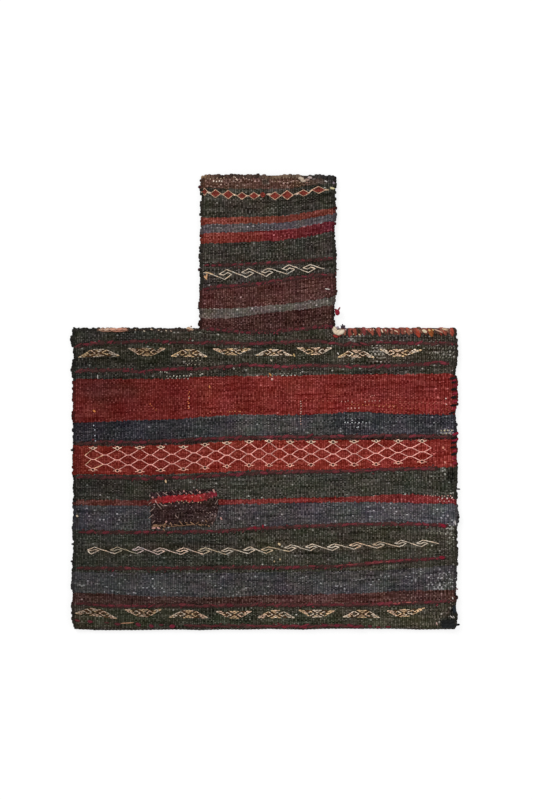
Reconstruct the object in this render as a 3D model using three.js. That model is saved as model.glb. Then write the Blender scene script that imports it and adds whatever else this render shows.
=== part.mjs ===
// A hand-woven wool salt bag, empty and lying on its back.
// One strip of weft-faced cloth is folded at the bottom and overcast along its sides and shoulders,
// so a wide body narrows to a neck with an open mouth. Wrapped lines and brocade stand on the front.
// Millimetres, +Z up out of the front, +Y towards the mouth, origin under the middle of the outline.

import * as THREE from "three";

// Outline of the cloth
const BODY_WIDTH = 427;
const BODY_HEIGHT = 335;
const NECK_WIDTH = 149;
const NECK_HEIGHT = 171;
const NECK_OFFSET = 3.6;

// Cloth: ridges run along the warps, and one ridge stands for a few warps
const CLOTH = 2.4;
const WARP_PITCH = 2.1;
const WARPS_PER_RIDGE = 5;
const RIDGE_HEIGHT = 0.5;

// Space between the two layers: closed at the sewn edges, open in the middle and at the mouth
const FOLD_GAP = 2;
const SEAM_GAP = 0.3;
const BODY_BELLY = 8;
const BODY_REACH = 70;
const NECK_BELLY = 7;
const NECK_REACH = 60;
const FOLD_STEPS = 4;

// Overcasting: yarn bound over the edges, with the clearance that every piece keeps to the cloth
const SEAT_GAP = 0.3;
const WRAP = 1;
const WRAP_DIP = 0.4;
const WRAP_PITCH = 14;
const SEAM_LEG = 7;
const LEG_MARGIN = 1;
const LIFT_REACH = 12;

// Chart of the woven pattern: its heights are spread over the body and the neck
const CHART_HEIGHT = 335;
const NECK_CHART_HEIGHT = 171;

// Wrapped lines: distance below the shoulder at five even places across the body
const LINE_YARN = 1;
const LINE_WIDTH = 2.4;
const LINE_STEP = 21;
const BODY_LINES = [
  [16.9, 14.6, 15.1, 14.6, 15.7],
  [45.9, 44.8, 41.0, 40.5, 38.1],
  [128.6, 126.3, 121.9, 121.3, 120.2],
  [163.7, 164.3, 159.8, 159.3, 157.0],
  [226.8, 226.3, 221.8, 218.5, 219.0],
  [267.0, 267.0, 265.9, 263.1, 255.9],
  [307.8, 308.9, 307.8, 307.6, 303.3],
  [327.0, 328.5, 329.5, 329.5, 329.5],
];

// Distance below the mouth at four even places across the neck
const NECK_LINES = [
  [99.6, 98.5, 96.6, 92.6],
  [124.2, 120.8, 115.3, 110.8],
  [171.1, 174.1, 173.3, 169.4],
];

// Brocade: raised wool figures, each a net, a chain or a row of motifs between the seams
const BROCADE = 0.8;
const LINK_WIDTH = 1.6;
const NET_LEFT = 2.2;
const NET_RIGHT = 17.6;
const NET_EYES = 16;
const NET_BAR = 1.8;
const NET_TOP = [135.3, 134.1, 128.0, 128.0, 127.4];
const NET_BOTTOM = [157.6, 156.5, 150.3, 149.8, 147.0];
const SCROLL_LEFT = 6.4;
const SCROLL_RIGHT = 21.9;
const SCROLL_UNITS = 16;
const SCROLL_WIDTH = 16;
const SCROLL_HEIGHT = 7;
const SCROLL_LINE = [247.5, 248.6, 246.4, 242.0, 239.1];
const NECK_SCROLL_LEFT = 11.2;
const NECK_SCROLL_RIGHT = 12.8;
const NECK_SCROLL_UNITS = 5;
const NECK_SCROLL_WIDTH = 16;
const NECK_SCROLL_HEIGHT = 9;
const NECK_SCROLL_LINE = [110.2, 109.1, 106.5, 103.5];
const DIAMOND_LEFT = 2.9;
const DIAMOND_RIGHT = 4.6;
const DIAMOND_UNITS = 9;
const DIAMOND_WIDTH = 12.4;
const DIAMOND_HEIGHT = 9.5;
const DIAMOND_LINE = [19.8, 22.6, 21.0, 14.7];
const MOTIFS = 8;
const MOTIF_WIDTH = 40;
const MOTIF_CROWN = 12;
const MOTIF_HEIGHT = 9;
const UPPER_MOTIF_BELOW = 27;
const UPPER_MOTIF_RIGHT = 36.9;
const LOWER_MOTIF_BELOW = 317.5;
const LOWER_MOTIF_RIGHT = 31.2;

// Repair patch on the front, and the comb of whip stitches along its border
const PATCH = 1.8;
const PATCH_LEFT = 88;
const PATCH_ABOVE_LINE = 1.5;
const LINE_UNDER_PATCH = 4;
const PATCH_WIDTH = 72;
const PATCH_HEIGHT = 39;
const PATCH_TURN = THREE.MathUtils.degToRad(3.5);
const PATCH_STEPS = 6;
const STITCH = 0.7;
const STITCH_PITCH = 8;
const STITCH_INSET = 1;
const STITCH_BAND = 1.5;
const STITCH_REACH = 5;

// Knots of loose wool where the neck meets the shoulders
const RED_KNOT_RADIUS = 2.6;
const RED_KNOT_BELOW = 151;
const CREAM_KNOT_RADIUS = 5;
const CREAM_KNOT_CLEAR = 2;
const PALE_KNOT_RADIUS = 3;
const PALE_KNOT_CLEAR = 8;
const KNOT_FLATNESS = 0.6;

// Yarn colours
const DARK_GREEN = 0x3b3a33;
const DARK_BROWN = 0x2f2723;
const CRIMSON = 0x6d262b;
const BRICK_RED = 0x87332b;
const CREAM = 0xc9ab82;
const SALMON = 0xbf7f6e;

// Places worked out from the sizes above
const TOTAL_HEIGHT = BODY_HEIGHT + NECK_HEIGHT + SEAT_GAP + WRAP;
const FOLD_Y = -TOTAL_HEIGHT / 2;
const SHOULDER_Y = FOLD_Y + BODY_HEIGHT;
const MOUTH_Y = SHOULDER_Y + NECK_HEIGHT;
const BEND_Y = FOLD_Y + CLOTH + FOLD_GAP / 2;
const BODY_LEFT = -BODY_WIDTH / 2;
const BODY_RIGHT = BODY_WIDTH / 2;
const NECK_LEFT = NECK_OFFSET - NECK_WIDTH / 2;
const NECK_RIGHT = NECK_OFFSET + NECK_WIDTH / 2;
const EDGE_FLAT = SEAM_LEG + LEG_MARGIN;
const EDGE_LIFT = WRAP + SEAT_GAP;
const FIELD_EDGE = SEAM_LEG + 2 * SEAT_GAP;
const BODY_FIELD = [BODY_LEFT + FIELD_EDGE, BODY_RIGHT - FIELD_EDGE];
const NECK_FIELD = [NECK_LEFT + FIELD_EDGE, NECK_RIGHT - FIELD_EDGE];

const { clamp, lerp, smoothstep } = THREE.MathUtils;
const bag = new THREE.Group();

// Rises from 0 at a distance of 0 to 1 at the given reach, as a parabola
function rise(distance, reach) {
  const share = clamp(distance / reach, 0, 1);
  return 1 - (1 - share) ** 2;
}

const insideNeck = (x) => NECK_WIDTH / 2 - Math.abs(x - NECK_OFFSET);
const insideBody = (x) => BODY_WIDTH / 2 - Math.abs(x);

// Clear height between the two layers
function layerGap(x, y) {
  const neck = NECK_BELLY * rise(insideNeck(x), NECK_REACH);
  if (y >= SHOULDER_Y) {
    return SEAM_GAP + neck;
  }
  const overFold = rise(y - BEND_Y, BODY_REACH);
  const body = BODY_BELLY * rise(insideBody(x), BODY_REACH) * overFold;
  const towardsNeck = smoothstep(y, SHOULDER_Y - BODY_REACH, SHOULDER_Y);
  return lerp(FOLD_GAP, SEAM_GAP, overFold) + lerp(body, neck, towardsNeck);
}

// Height of the back's underside: it lies flat, and rises over the yarn bound round each edge
function backBase(x, y) {
  const neckDistance = Math.max(0, insideNeck(x));
  const inBody = Math.min(insideBody(x), Math.hypot(neckDistance, SHOULDER_Y - y));
  const inNeck = Math.min(neckDistance, MOUTH_Y - y);
  const distance = y >= SHOULDER_Y ? inNeck : inBody;
  return EDGE_LIFT * (1 - rise(distance - EDGE_FLAT, LIFT_REACH));
}

// Rows of the cloth down the back and down the front, with more of them where it curves
const EDGE_ROWS = [0, EDGE_FLAT, EDGE_FLAT + LIFT_REACH];
const BACK_ROWS = [
  ...EDGE_ROWS.map((step) => MOUTH_Y - step),
  ...EDGE_ROWS.map((step) => SHOULDER_Y - step),
  BEND_Y,
];
const BELLY_ROWS = [0.6, 1].map((share) => SHOULDER_Y - share * BODY_REACH);
const FOLD_ROWS = [1, 0.6, 0.3].map((share) => BEND_Y + share * BODY_REACH);
const FRONT_ROWS = [...BACK_ROWS, ...BELLY_ROWS, ...FOLD_ROWS].sort((high, low) => low - high);

// Height of the ridge crests on the front, straight between the cloth's rows
function frontTop(x, y) {
  const crest = (row) => backBase(x, row) + 2 * CLOTH + layerGap(x, row) + RIDGE_HEIGHT;
  const below = FRONT_ROWS.findIndex((row) => row <= Math.max(y, BEND_Y));
  const lower = Math.max(1, below);
  const [high, low] = [FRONT_ROWS[lower - 1], FRONT_ROWS[lower]];
  return lerp(crest(low), crest(high), clamp((y - low) / (high - low), 0, 1));
}

const frontSeat = (x, y) => frontTop(x, y) + SEAT_GAP;
const backSeat = (x, y) => backBase(x, y) - SEAT_GAP;

// Faces of a grid of points, row after row, as seen from outside
function gridFaces(columns, rows, covers = () => true) {
  const faces = [];
  for (let row = 0; row + 1 < rows; row += 1) {
    for (let column = 0; column + 1 < columns; column += 1) {
      const corner = row * columns + column;
      if (covers(column, row)) {
        faces.push([corner, corner + columns, corner + columns + 1, corner + 1]);
      }
    }
  }
  return faces;
}

// A closed solid from the two sides of a sheet: the faces are listed once, walls close the border
function sheetSolid(outer, inner, faces) {
  const corners = [];
  const addFace = (points) => {
    for (let k = 1; k + 1 < points.length; k += 1) {
      corners.push(points[0], points[k], points[k + 1]);
    }
  };
  const border = new Map();
  for (const face of faces) {
    addFace(face.map((index) => outer[index]));
    addFace(face.map((index) => inner[index]).reverse());
    face.forEach((from, k) => {
      const to = face[(k + 1) % face.length];
      if (!border.delete(`${to}-${from}`)) {
        border.set(`${from}-${to}`, [from, to]);
      }
    });
  }
  for (const [from, to] of border.values()) {
    addFace([outer[to], outer[from], inner[from], inner[to]]);
  }
  return new THREE.BufferGeometry().setFromPoints(corners);
}

function addPiece(name, geometry, color) {
  const material = new THREE.MeshStandardMaterial({ color, roughness: 0.95, metalness: 0 });
  const mesh = new THREE.Mesh(geometry, material);
  mesh.name = name;
  bag.add(mesh);
  return mesh;
}

// Columns across a stretch of cloth: two for each ridge, with both ends in hollows
function ridgeColumns(left, right) {
  const halves = 2 * Math.max(1, Math.round((right - left) / (WARP_PITCH * WARPS_PER_RIDGE)));
  const column = (_, half) => ({ x: lerp(left, right, half / halves), crest: half % 2 });
  return Array.from({ length: halves + 1 }, column);
}

// A panel of cloth on a grid of columns and rows.
// Around the fold a point keeps its distance from the middle of the bend and turns half a circle.
function clothPanel(columns, rows, covers) {
  const side = (thickness, ridge) => rows.flatMap(({ y, turn }) => columns.map(({ x, crest }) => {
    const gap = layerGap(x, y);
    const radius = gap / 2 + thickness + ridge * crest * (1 + Math.cos(turn)) / 2;
    const middle = backBase(x, y) + CLOTH + gap / 2;
    return new THREE.Vector3(x, y - radius * Math.sin(turn), middle + radius * Math.cos(turn));
  }));
  return sheetSolid(side(CLOTH, RIDGE_HEIGHT), side(0, 0), gridFaces(columns.length, rows.length, covers));
}

// The cloth is one strip, and its solid is split so that each panel's convex pieces keep the pocket open.
// The front is cut in the hollows that run on from the neck's edges.
function addFrontPanels() {
  const toMouth = FRONT_ROWS.map((y) => Math.max(y, BEND_Y + SEAT_GAP));
  const toShoulder = toMouth.filter((y) => y <= SHOULDER_Y);
  const halfGap = SEAT_GAP / 2;
  const panels = [
    ["woven_front_left", BODY_LEFT, NECK_LEFT - halfGap, toShoulder],
    ["woven_front_middle", NECK_LEFT + halfGap, NECK_RIGHT - halfGap, toMouth],
    ["woven_front_right", NECK_RIGHT + halfGap, BODY_RIGHT, toShoulder],
  ];
  for (const [name, left, right, heights] of panels) {
    const rows = heights.map((y) => ({ y, turn: 0 }));
    addPiece(name, clothPanel(ridgeColumns(left, right), rows), DARK_GREEN);
  }
}

// The back keeps the fold: the strip turns round it and runs up to the back lip of the mouth
function wovenBack() {
  const columns = [
    ...ridgeColumns(BODY_LEFT, NECK_LEFT),
    ...ridgeColumns(NECK_LEFT, NECK_RIGHT).slice(1),
    ...ridgeColumns(NECK_RIGHT, BODY_RIGHT).slice(1),
  ];
  const bends = Array.from({ length: FOLD_STEPS }, (_, k) => k / FOLD_STEPS);
  const rows = [
    ...bends.map((share) => ({ y: BEND_Y, turn: Math.PI * share })),
    ...[...BACK_ROWS].reverse().map((y) => ({ y, turn: Math.PI })),
  ];
  const neckRow = (row) => rows[row].y >= SHOULDER_Y;
  const neckColumn = (column) => columns[column].x >= NECK_LEFT && columns[column + 1].x <= NECK_RIGHT;
  return clothPanel(columns, rows, (column, row) => !neckRow(row) || neckColumn(column));
}

// Yarn bound over an edge from one corner to the next, with a dip between the wraps.
// The section goes from the leg on the front, round the edge, to the leg under the back.
function overcast(from, to, outward) {
  const wraps = Math.max(1, Math.round(from.distanceTo(to) / WRAP_PITCH));
  const [outer, inner] = [[], []];
  for (let row = 0; row <= 2 * wraps; row += 1) {
    const yarn = row % 2 === 1 ? WRAP : WRAP - WRAP_DIP;
    const edge = from.clone().lerp(to, row / (2 * wraps));
    const leg = edge.clone().addScaledVector(outward, -SEAM_LEG);
    const near = edge.clone().addScaledVector(outward, SEAT_GAP);
    const far = edge.clone().addScaledVector(outward, SEAT_GAP + yarn);
    const [legTop, edgeTop] = [frontSeat(leg.x, leg.y), frontSeat(edge.x, edge.y)];
    const [legBase, edgeBase] = [backSeat(leg.x, leg.y), backSeat(edge.x, edge.y)];
    inner.push(
      new THREE.Vector3(leg.x, leg.y, legTop),
      new THREE.Vector3(near.x, near.y, edgeTop),
      new THREE.Vector3(near.x, near.y, edgeBase),
      new THREE.Vector3(leg.x, leg.y, legBase),
    );
    outer.push(
      new THREE.Vector3(leg.x, leg.y, legTop + yarn),
      new THREE.Vector3(far.x, far.y, edgeTop + yarn),
      new THREE.Vector3(far.x, far.y, edgeBase - yarn),
      new THREE.Vector3(leg.x, leg.y, legBase - yarn),
    );
  }
  return sheetSolid(outer, inner, gridFaces(4, 2 * wraps + 1));
}

function addSeams() {
  const right = new THREE.Vector2(1, 0);
  const left = new THREE.Vector2(-1, 0);
  const up = new THREE.Vector2(0, 1);
  const neckFoot = SHOULDER_Y + EDGE_LIFT + SEAT_GAP;
  const shoulderEnd = SEAM_LEG + SEAT_GAP;
  const seams = [
    ["side_seam_right", BODY_RIGHT, SHOULDER_Y, BODY_RIGHT, BEND_Y, right],
    ["side_seam_left", BODY_LEFT, BEND_Y, BODY_LEFT, SHOULDER_Y, left],
    ["neck_seam_right", NECK_RIGHT, MOUTH_Y, NECK_RIGHT, neckFoot, right],
    ["neck_seam_left", NECK_LEFT, neckFoot, NECK_LEFT, MOUTH_Y, left],
    ["shoulder_seam_right", NECK_RIGHT + SEAT_GAP, SHOULDER_Y, BODY_RIGHT - shoulderEnd, SHOULDER_Y, up],
    ["shoulder_seam_left", BODY_LEFT + shoulderEnd, SHOULDER_Y, NECK_LEFT - SEAT_GAP, SHOULDER_Y, up],
  ];
  for (const [name, x0, y0, x1, y1, outward] of seams) {
    const geometry = overcast(new THREE.Vector2(x0, y0), new THREE.Vector2(x1, y1), outward);
    addPiece(name, geometry, name === "shoulder_seam_right" ? BRICK_RED : DARK_BROWN);
  }
}

// Overcasting along one lip of the mouth: it covers the lip's end and a strip of its outer face
function mouthEdge(onFront) {
  const end = SEAM_LEG + SEAT_GAP;
  const [x0, x1] = [NECK_LEFT + end, NECK_RIGHT - end];
  const wraps = Math.max(1, Math.round((x1 - x0) / WRAP_PITCH));
  const [outer, inner] = [[], []];
  for (let row = 0; row <= 2 * wraps; row += 1) {
    const yarn = row % 2 === 1 ? WRAP : WRAP - WRAP_DIP;
    const x = lerp(x0, x1, row / (2 * wraps));
    const legY = MOUTH_Y - SEAM_LEG;
    const nearY = MOUTH_Y + SEAT_GAP;
    const seat = onFront ? frontSeat : backSeat;
    const lift = onFront ? yarn : -yarn;
    const innerFace = backBase(x, MOUTH_Y) + CLOTH + (onFront ? layerGap(x, MOUTH_Y) : 0);
    const covered = [
      new THREE.Vector3(x, legY, seat(x, legY)),
      new THREE.Vector3(x, nearY, seat(x, MOUTH_Y)),
      new THREE.Vector3(x, nearY, innerFace),
    ];
    const raised = [
      new THREE.Vector3(x, legY, seat(x, legY) + lift),
      new THREE.Vector3(x, nearY + yarn, seat(x, MOUTH_Y) + lift),
      new THREE.Vector3(x, nearY + yarn, innerFace),
    ];
    inner.push(...(onFront ? covered : covered.reverse()));
    outer.push(...(onFront ? raised : raised.reverse()));
  }
  return sheetSolid(outer, inner, gridFaces(3, 2 * wraps + 1));
}

// A flat figure laid on the front: its underside follows the ridge crests
function laidOn(points, faces, thickness, seat = frontSeat) {
  const at = (lift) => points.map(({ x, y }) => new THREE.Vector3(x, y, seat(x, y) + lift));
  return sheetSolid(at(thickness), at(0), faces);
}

// A band along a row of stations, each with its place and its width across the band
function ribbon(stations, thickness) {
  const edge = (half) => stations.map(({ at, width }) => new THREE.Vector2(at.x, at.y + half * width));
  return laidOn([...edge(0.5), ...edge(-0.5)], gridFaces(stations.length, 2), thickness);
}

// Value at x on a line given by its values at even places from first to last
function along(values, first, last, x) {
  const place = clamp((x - first) / (last - first), 0, 1) * (values.length - 1);
  const start = Math.min(Math.floor(place), values.length - 2);
  return lerp(values[start], values[start + 1], place - start);
}

function bodyPlace(x, below) {
  return new THREE.Vector2(x, SHOULDER_Y - below * BODY_HEIGHT / CHART_HEIGHT);
}

function neckPlace(x, below) {
  return new THREE.Vector2(x, MOUTH_Y - below * NECK_HEIGHT / NECK_CHART_HEIGHT);
}

// Weft yarn wrapped round the warps, in a line from seam to seam
function addLines(prefix, lines, [left, right], place) {
  const steps = Math.ceil((right - left) / LINE_STEP);
  lines.forEach((values, index) => {
    const stations = [];
    for (let step = 0; step <= steps; step += 1) {
      const x = lerp(left, right, step / steps);
      stations.push({ at: place(x, along(values, left, right, x)), width: LINE_WIDTH });
    }
    addPiece(`${prefix}_${index + 1}`, ribbon(stations, LINE_YARN), CRIMSON);
  });
}

// A chain of lozenges joined by a thin link, between two x values
function chain(units, left, right, line, place, width, height) {
  const half = width / 2;
  const stations = [];
  for (let unit = 0; unit < units; unit += 1) {
    const x = lerp(left + half, right - half, unit / (units - 1));
    for (const [shift, tall] of [[-half, LINK_WIDTH], [0, height], [half, LINK_WIDTH]]) {
      stations.push({ at: place(x + shift, along(line, left, right, x + shift)), width: tall });
    }
  }
  return ribbon(stations, BROCADE);
}

// Net of lozenges three rows deep: each lozenge is a frame, and neighbours share their corners
function brocadeNet() {
  const [left, right] = [BODY_FIELD[0] + NET_LEFT, BODY_FIELD[1] - NET_RIGHT];
  const corner = (half, level) => {
    const x = lerp(left, right, half / (2 * NET_EYES));
    const top = along(NET_TOP, left, right, x);
    const bottom = along(NET_BOTTOM, left, right, x);
    return bodyPlace(x, lerp(top, bottom, level / 4));
  };
  const points = [];
  const faces = [];
  const shared = new Map();
  const sharedIndex = (half, level) => {
    const key = `${half}-${level}`;
    if (!shared.has(key)) {
      shared.set(key, points.push(corner(half, level)) - 1);
    }
    return shared.get(key);
  };
  const addLozenge = (half, level) => {
    const centre = corner(half, level);
    const ring = [[0, -1], [-1, 0], [0, 1], [1, 0]].map(([dh, dl]) => sharedIndex(half + dh, level + dl));
    const across = points[ring[3]].distanceTo(points[ring[1]]) / 2;
    const tall = points[ring[0]].distanceTo(points[ring[2]]) / 2;
    const inset = clamp(NET_BAR / 2 * Math.hypot(across, tall) / (across * tall), 0.05, 0.6);
    const hole = ring.map((index) => points.push(points[index].clone().lerp(centre, inset)) - 1);
    ring.forEach((from, k) => {
      const next = (k + 1) % ring.length;
      faces.push([from, ring[next], hole[next], hole[k]]);
    });
  };
  for (let eye = 0; eye < NET_EYES; eye += 1) {
    addLozenge(2 * eye + 1, 1);
    addLozenge(2 * eye + 1, 3);
    if (eye > 0) {
      addLozenge(2 * eye, 2);
    }
  }
  return laidOn(points, faces, BROCADE);
}

// Row of flat-topped triangles from the left seam, turned up and down by turns
function addMotifs(prefix, below, rightMargin) {
  const half = MOTIF_WIDTH / 2;
  const crown = MOTIF_CROWN / 2;
  const middle = (half + crown) / 2;
  const shoulder = (MOTIF_HEIGHT + LINK_WIDTH) / 2;
  const profile = [
    [-half, LINK_WIDTH],
    [-middle, shoulder],
    [-crown, MOTIF_HEIGHT],
    [crown, MOTIF_HEIGHT],
    [middle, shoulder],
    [half, LINK_WIDTH],
  ];
  for (let unit = 0; unit < MOTIFS; unit += 1) {
    const x = lerp(BODY_FIELD[0] + half, BODY_FIELD[1] - rightMargin - half, unit / (MOTIFS - 1));
    const pointing = unit % 2 === 0 ? 1 : -1;
    const stations = profile.map(([shift, width]) => {
      const at = bodyPlace(x + shift, below);
      at.y += pointing * (width - MOTIF_HEIGHT) / 2;
      return { at, width };
    });
    addPiece(`${prefix}_${unit + 1}`, ribbon(stations, BROCADE), CREAM);
  }
}

// The patch lies just above a wrapped line, with its lower left corner nearest to it
function patchMiddle() {
  const x = BODY_LEFT + PATCH_LEFT + PATCH_WIDTH / 2;
  const line = bodyPlace(x, along(BODY_LINES[LINE_UNDER_PATCH], ...BODY_FIELD, x)).y + LINE_WIDTH / 2;
  const tilt = PATCH_WIDTH / 2 * Math.sin(PATCH_TURN) + PATCH_HEIGHT / 2 * Math.cos(PATCH_TURN);
  return new THREE.Vector2(x, line + PATCH_ABOVE_LINE + tilt);
}

// Point of the patch from its middle, in its own turned directions
function patchPoint(across, up) {
  return new THREE.Vector2(across, up).rotateAround(new THREE.Vector2(), PATCH_TURN).add(patchMiddle());
}

function repairPatch() {
  const points = [];
  for (let row = 0; row <= PATCH_STEPS; row += 1) {
    for (let column = 0; column <= PATCH_STEPS; column += 1) {
      const across = PATCH_WIDTH * (column / PATCH_STEPS - 0.5);
      points.push(patchPoint(across, PATCH_HEIGHT * (0.5 - row / PATCH_STEPS)));
    }
  }
  return laidOn(points, gridFaces(PATCH_STEPS + 1, PATCH_STEPS + 1), PATCH);
}

// Points round a rectangle inside the patch's border, clockwise from its top left corner
function patchLoop(counts, insetAt) {
  const corners = [[-1, 1], [1, 1], [1, -1], [-1, -1]];
  const loop = [];
  corners.forEach(([sx, sy], side) => {
    const [ex, ey] = corners[(side + 1) % 4];
    for (let step = 0; step < counts[side]; step += 1) {
      const share = step / counts[side];
      const inset = insetAt(step);
      const [wide, tall] = [PATCH_WIDTH / 2 - inset, PATCH_HEIGHT / 2 - inset];
      loop.push(patchPoint(wide * lerp(sx, ex, share), tall * lerp(sy, ey, share)));
    }
  });
  return loop;
}

// One thread round the patch: a narrow band with a tooth for each whip stitch
function patchStitching() {
  const evenSteps = (length) => 2 * Math.max(2, Math.round(length / STITCH_PITCH));
  const counts = [PATCH_WIDTH, PATCH_HEIGHT, PATCH_WIDTH, PATCH_HEIGHT].map(evenSteps);
  const rim = patchLoop(counts, () => STITCH_INSET);
  const teeth = patchLoop(counts, (step) => STITCH_INSET + (step % 2 === 1 ? STITCH_REACH : STITCH_BAND));
  const size = rim.length;
  const faces = rim.map((_, k) => [k, size + k, size + (k + 1) % size, (k + 1) % size]);
  const seat = (x, y) => frontSeat(x, y) + PATCH + SEAT_GAP;
  return laidOn([...rim, ...teeth], faces, STITCH, seat);
}

function knot(radius, flatness, x, y, z) {
  const geometry = new THREE.IcosahedronGeometry(radius, 1);
  geometry.scale(1, 1, flatness);
  geometry.translate(x, y, z);
  return geometry;
}

// The red knot hangs on the neck's right seam, the others sit on the shoulder seams by the neck
function addKnots() {
  const redX = NECK_RIGHT + EDGE_LIFT + SEAT_GAP + RED_KNOT_RADIUS;
  const redY = neckPlace(redX, RED_KNOT_BELOW).y;
  const redZ = EDGE_LIFT + CLOTH + SEAM_GAP / 2;
  addPiece("red_knot", knot(RED_KNOT_RADIUS, 1, redX, redY, redZ), CRIMSON);
  const onShoulder = (radius, x) => {
    const y = SHOULDER_Y - SEAM_LEG / 2;
    const z = frontSeat(x, y) + WRAP + SEAT_GAP + radius * KNOT_FLATNESS;
    return knot(radius, KNOT_FLATNESS, x, y, z);
  };
  const creamX = NECK_RIGHT + CREAM_KNOT_CLEAR + CREAM_KNOT_RADIUS;
  addPiece("cream_knot", onShoulder(CREAM_KNOT_RADIUS, creamX), CREAM);
  const paleX = NECK_LEFT - PALE_KNOT_CLEAR - PALE_KNOT_RADIUS;
  addPiece("pale_knot", onShoulder(PALE_KNOT_RADIUS, paleX), CREAM);
}

function addBrocade() {
  addPiece("lozenge_net", brocadeNet(), SALMON);
  const bodyScroll = chain(SCROLL_UNITS, BODY_FIELD[0] + SCROLL_LEFT, BODY_FIELD[1] - SCROLL_RIGHT,
    SCROLL_LINE, bodyPlace, SCROLL_WIDTH, SCROLL_HEIGHT);
  addPiece("body_scroll_chain", bodyScroll, CREAM);
  const neckScroll = chain(NECK_SCROLL_UNITS, NECK_FIELD[0] + NECK_SCROLL_LEFT,
    NECK_FIELD[1] - NECK_SCROLL_RIGHT, NECK_SCROLL_LINE, neckPlace, NECK_SCROLL_WIDTH, NECK_SCROLL_HEIGHT);
  addPiece("neck_scroll_chain", neckScroll, CREAM);
  const diamonds = chain(DIAMOND_UNITS, NECK_FIELD[0] + DIAMOND_LEFT, NECK_FIELD[1] - DIAMOND_RIGHT,
    DIAMOND_LINE, neckPlace, DIAMOND_WIDTH, DIAMOND_HEIGHT);
  addPiece("neck_diamond_chain", diamonds, BRICK_RED);
  addMotifs("upper_motif", UPPER_MOTIF_BELOW, UPPER_MOTIF_RIGHT);
  addMotifs("lower_motif", LOWER_MOTIF_BELOW, LOWER_MOTIF_RIGHT);
}

addFrontPanels();
addPiece("woven_back", wovenBack(), DARK_GREEN);
addSeams();
addPiece("mouth_edge_front", mouthEdge(true), DARK_BROWN);
addPiece("mouth_edge_back", mouthEdge(false), DARK_BROWN);
addLines("body_line", BODY_LINES, BODY_FIELD, bodyPlace);
addLines("neck_line", NECK_LINES, NECK_FIELD, neckPlace);
addBrocade();
addPiece("repair_patch", repairPatch(), DARK_BROWN);
addPiece("patch_stitching", patchStitching(), SALMON);
addKnots();

export default bag;
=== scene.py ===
import math

import bpy
import numpy as np
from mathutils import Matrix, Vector


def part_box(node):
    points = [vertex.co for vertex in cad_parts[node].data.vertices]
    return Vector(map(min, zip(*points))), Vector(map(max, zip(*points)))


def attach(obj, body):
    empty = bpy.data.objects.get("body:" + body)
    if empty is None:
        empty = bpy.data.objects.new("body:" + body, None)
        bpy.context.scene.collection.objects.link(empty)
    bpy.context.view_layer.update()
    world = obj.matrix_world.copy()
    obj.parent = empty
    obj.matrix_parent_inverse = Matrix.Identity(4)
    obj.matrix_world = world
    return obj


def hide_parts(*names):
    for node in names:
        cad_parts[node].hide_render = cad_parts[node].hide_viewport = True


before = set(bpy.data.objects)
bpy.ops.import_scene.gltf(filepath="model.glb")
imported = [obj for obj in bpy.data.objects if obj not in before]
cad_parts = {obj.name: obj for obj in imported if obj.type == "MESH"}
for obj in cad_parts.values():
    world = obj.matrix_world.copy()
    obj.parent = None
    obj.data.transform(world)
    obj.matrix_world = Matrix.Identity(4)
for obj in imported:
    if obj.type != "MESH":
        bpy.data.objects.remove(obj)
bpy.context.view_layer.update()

# A hand-woven wool salt bag on its back, in metres: +Z out of the front, +Y from the fold to the mouth
CLOTH_LOW, CLOTH_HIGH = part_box("woven_back")
BODY_LEFT, BODY_RIGHT = float(CLOTH_LOW[0]), float(CLOTH_HIGH[0])
FOLD_Y, MOUTH_Y = float(CLOTH_LOW[1]), float(CLOTH_HIGH[1])

# Driving sizes of the cloth, as in the part's source
NECK_HEIGHT = 0.171
NECK_WIDTH = 0.149
NECK_MIDDLE = 0.0036
CLOTH = 0.0024
FOLD_GAP = 0.002
SEAM_GAP = 0.0003
BODY_BELLY, BODY_REACH = 0.008, 0.070
NECK_BELLY, NECK_REACH = 0.007, 0.060
EDGE_LIFT, EDGE_FLAT, EDGE_REACH = 0.0013, 0.008, 0.012

SHOULDER_Y = MOUTH_Y - NECK_HEIGHT
NECK_LEFT = NECK_MIDDLE - NECK_WIDTH / 2
NECK_RIGHT = NECK_MIDDLE + NECK_WIDTH / 2
BEND_Y = FOLD_Y + CLOTH + FOLD_GAP / 2

# The weave: warps left of the neck, in the neck and right of it; two warps lie together in each rib
SIDE_AND_NECK_RIBS = (68, 72, 64)
RIBS = sum(SIDE_AND_NECK_RIBS)
COLUMNS_PER_RIB = 3
LINING_STRIDE = 6
RIB_DEPTH = 0.00036
PICK = 0.00070
ROW_CELL, BACK_CELL = 0.0058, 0.020
BORDER_LAP = 0.0002
FOLD_STEPS = 8

# Waves of the front's slack: lengths across and up the bag, phase and share
SLACK_WAVES = [(0.23, 0.61, 0.15, 0.6), (-0.48, 0.17, 0.4, 0.5), (0.11, 0.13, 0, 0.25)]
# Sideways waves of the ribs: reach, length up the cloth, drift of the phase, its turn by rib and its start
SWAY_WAVES = [(0.0005, 0.21, 0.3, 0.11, 0), (0.0002, 0.047, 0.5, 0.23, 1)]

# The photograph's frame, in which the pattern was charted
PIXEL = 0.0011169
PHOTO_MIDDLE = (264.5, 401.75)
PHOTO_CENTRE = (266.5, 400.0)
PHOTO_LONG_SIDE = 800

TAU = 2 * math.pi


def to_x(px):
    """Metres across the bag from a photograph column."""
    return (np.asarray(px, float) - PHOTO_MIDDLE[0]) * PIXEL


def to_y(py):
    """Metres up the bag from a photograph row."""
    return (PHOTO_MIDDLE[1] - np.asarray(py, float)) * PIXEL


def place(points):
    """Metres on the bag from a list of photograph points."""
    points = np.asarray(points, float)
    return np.stack([to_x(points[..., 0]), to_y(points[..., 1])], -1)


def column_of(x):
    """Photograph column of a place across the bag."""
    return np.asarray(x, float) / PIXEL + PHOTO_MIDDLE[0]


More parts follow.
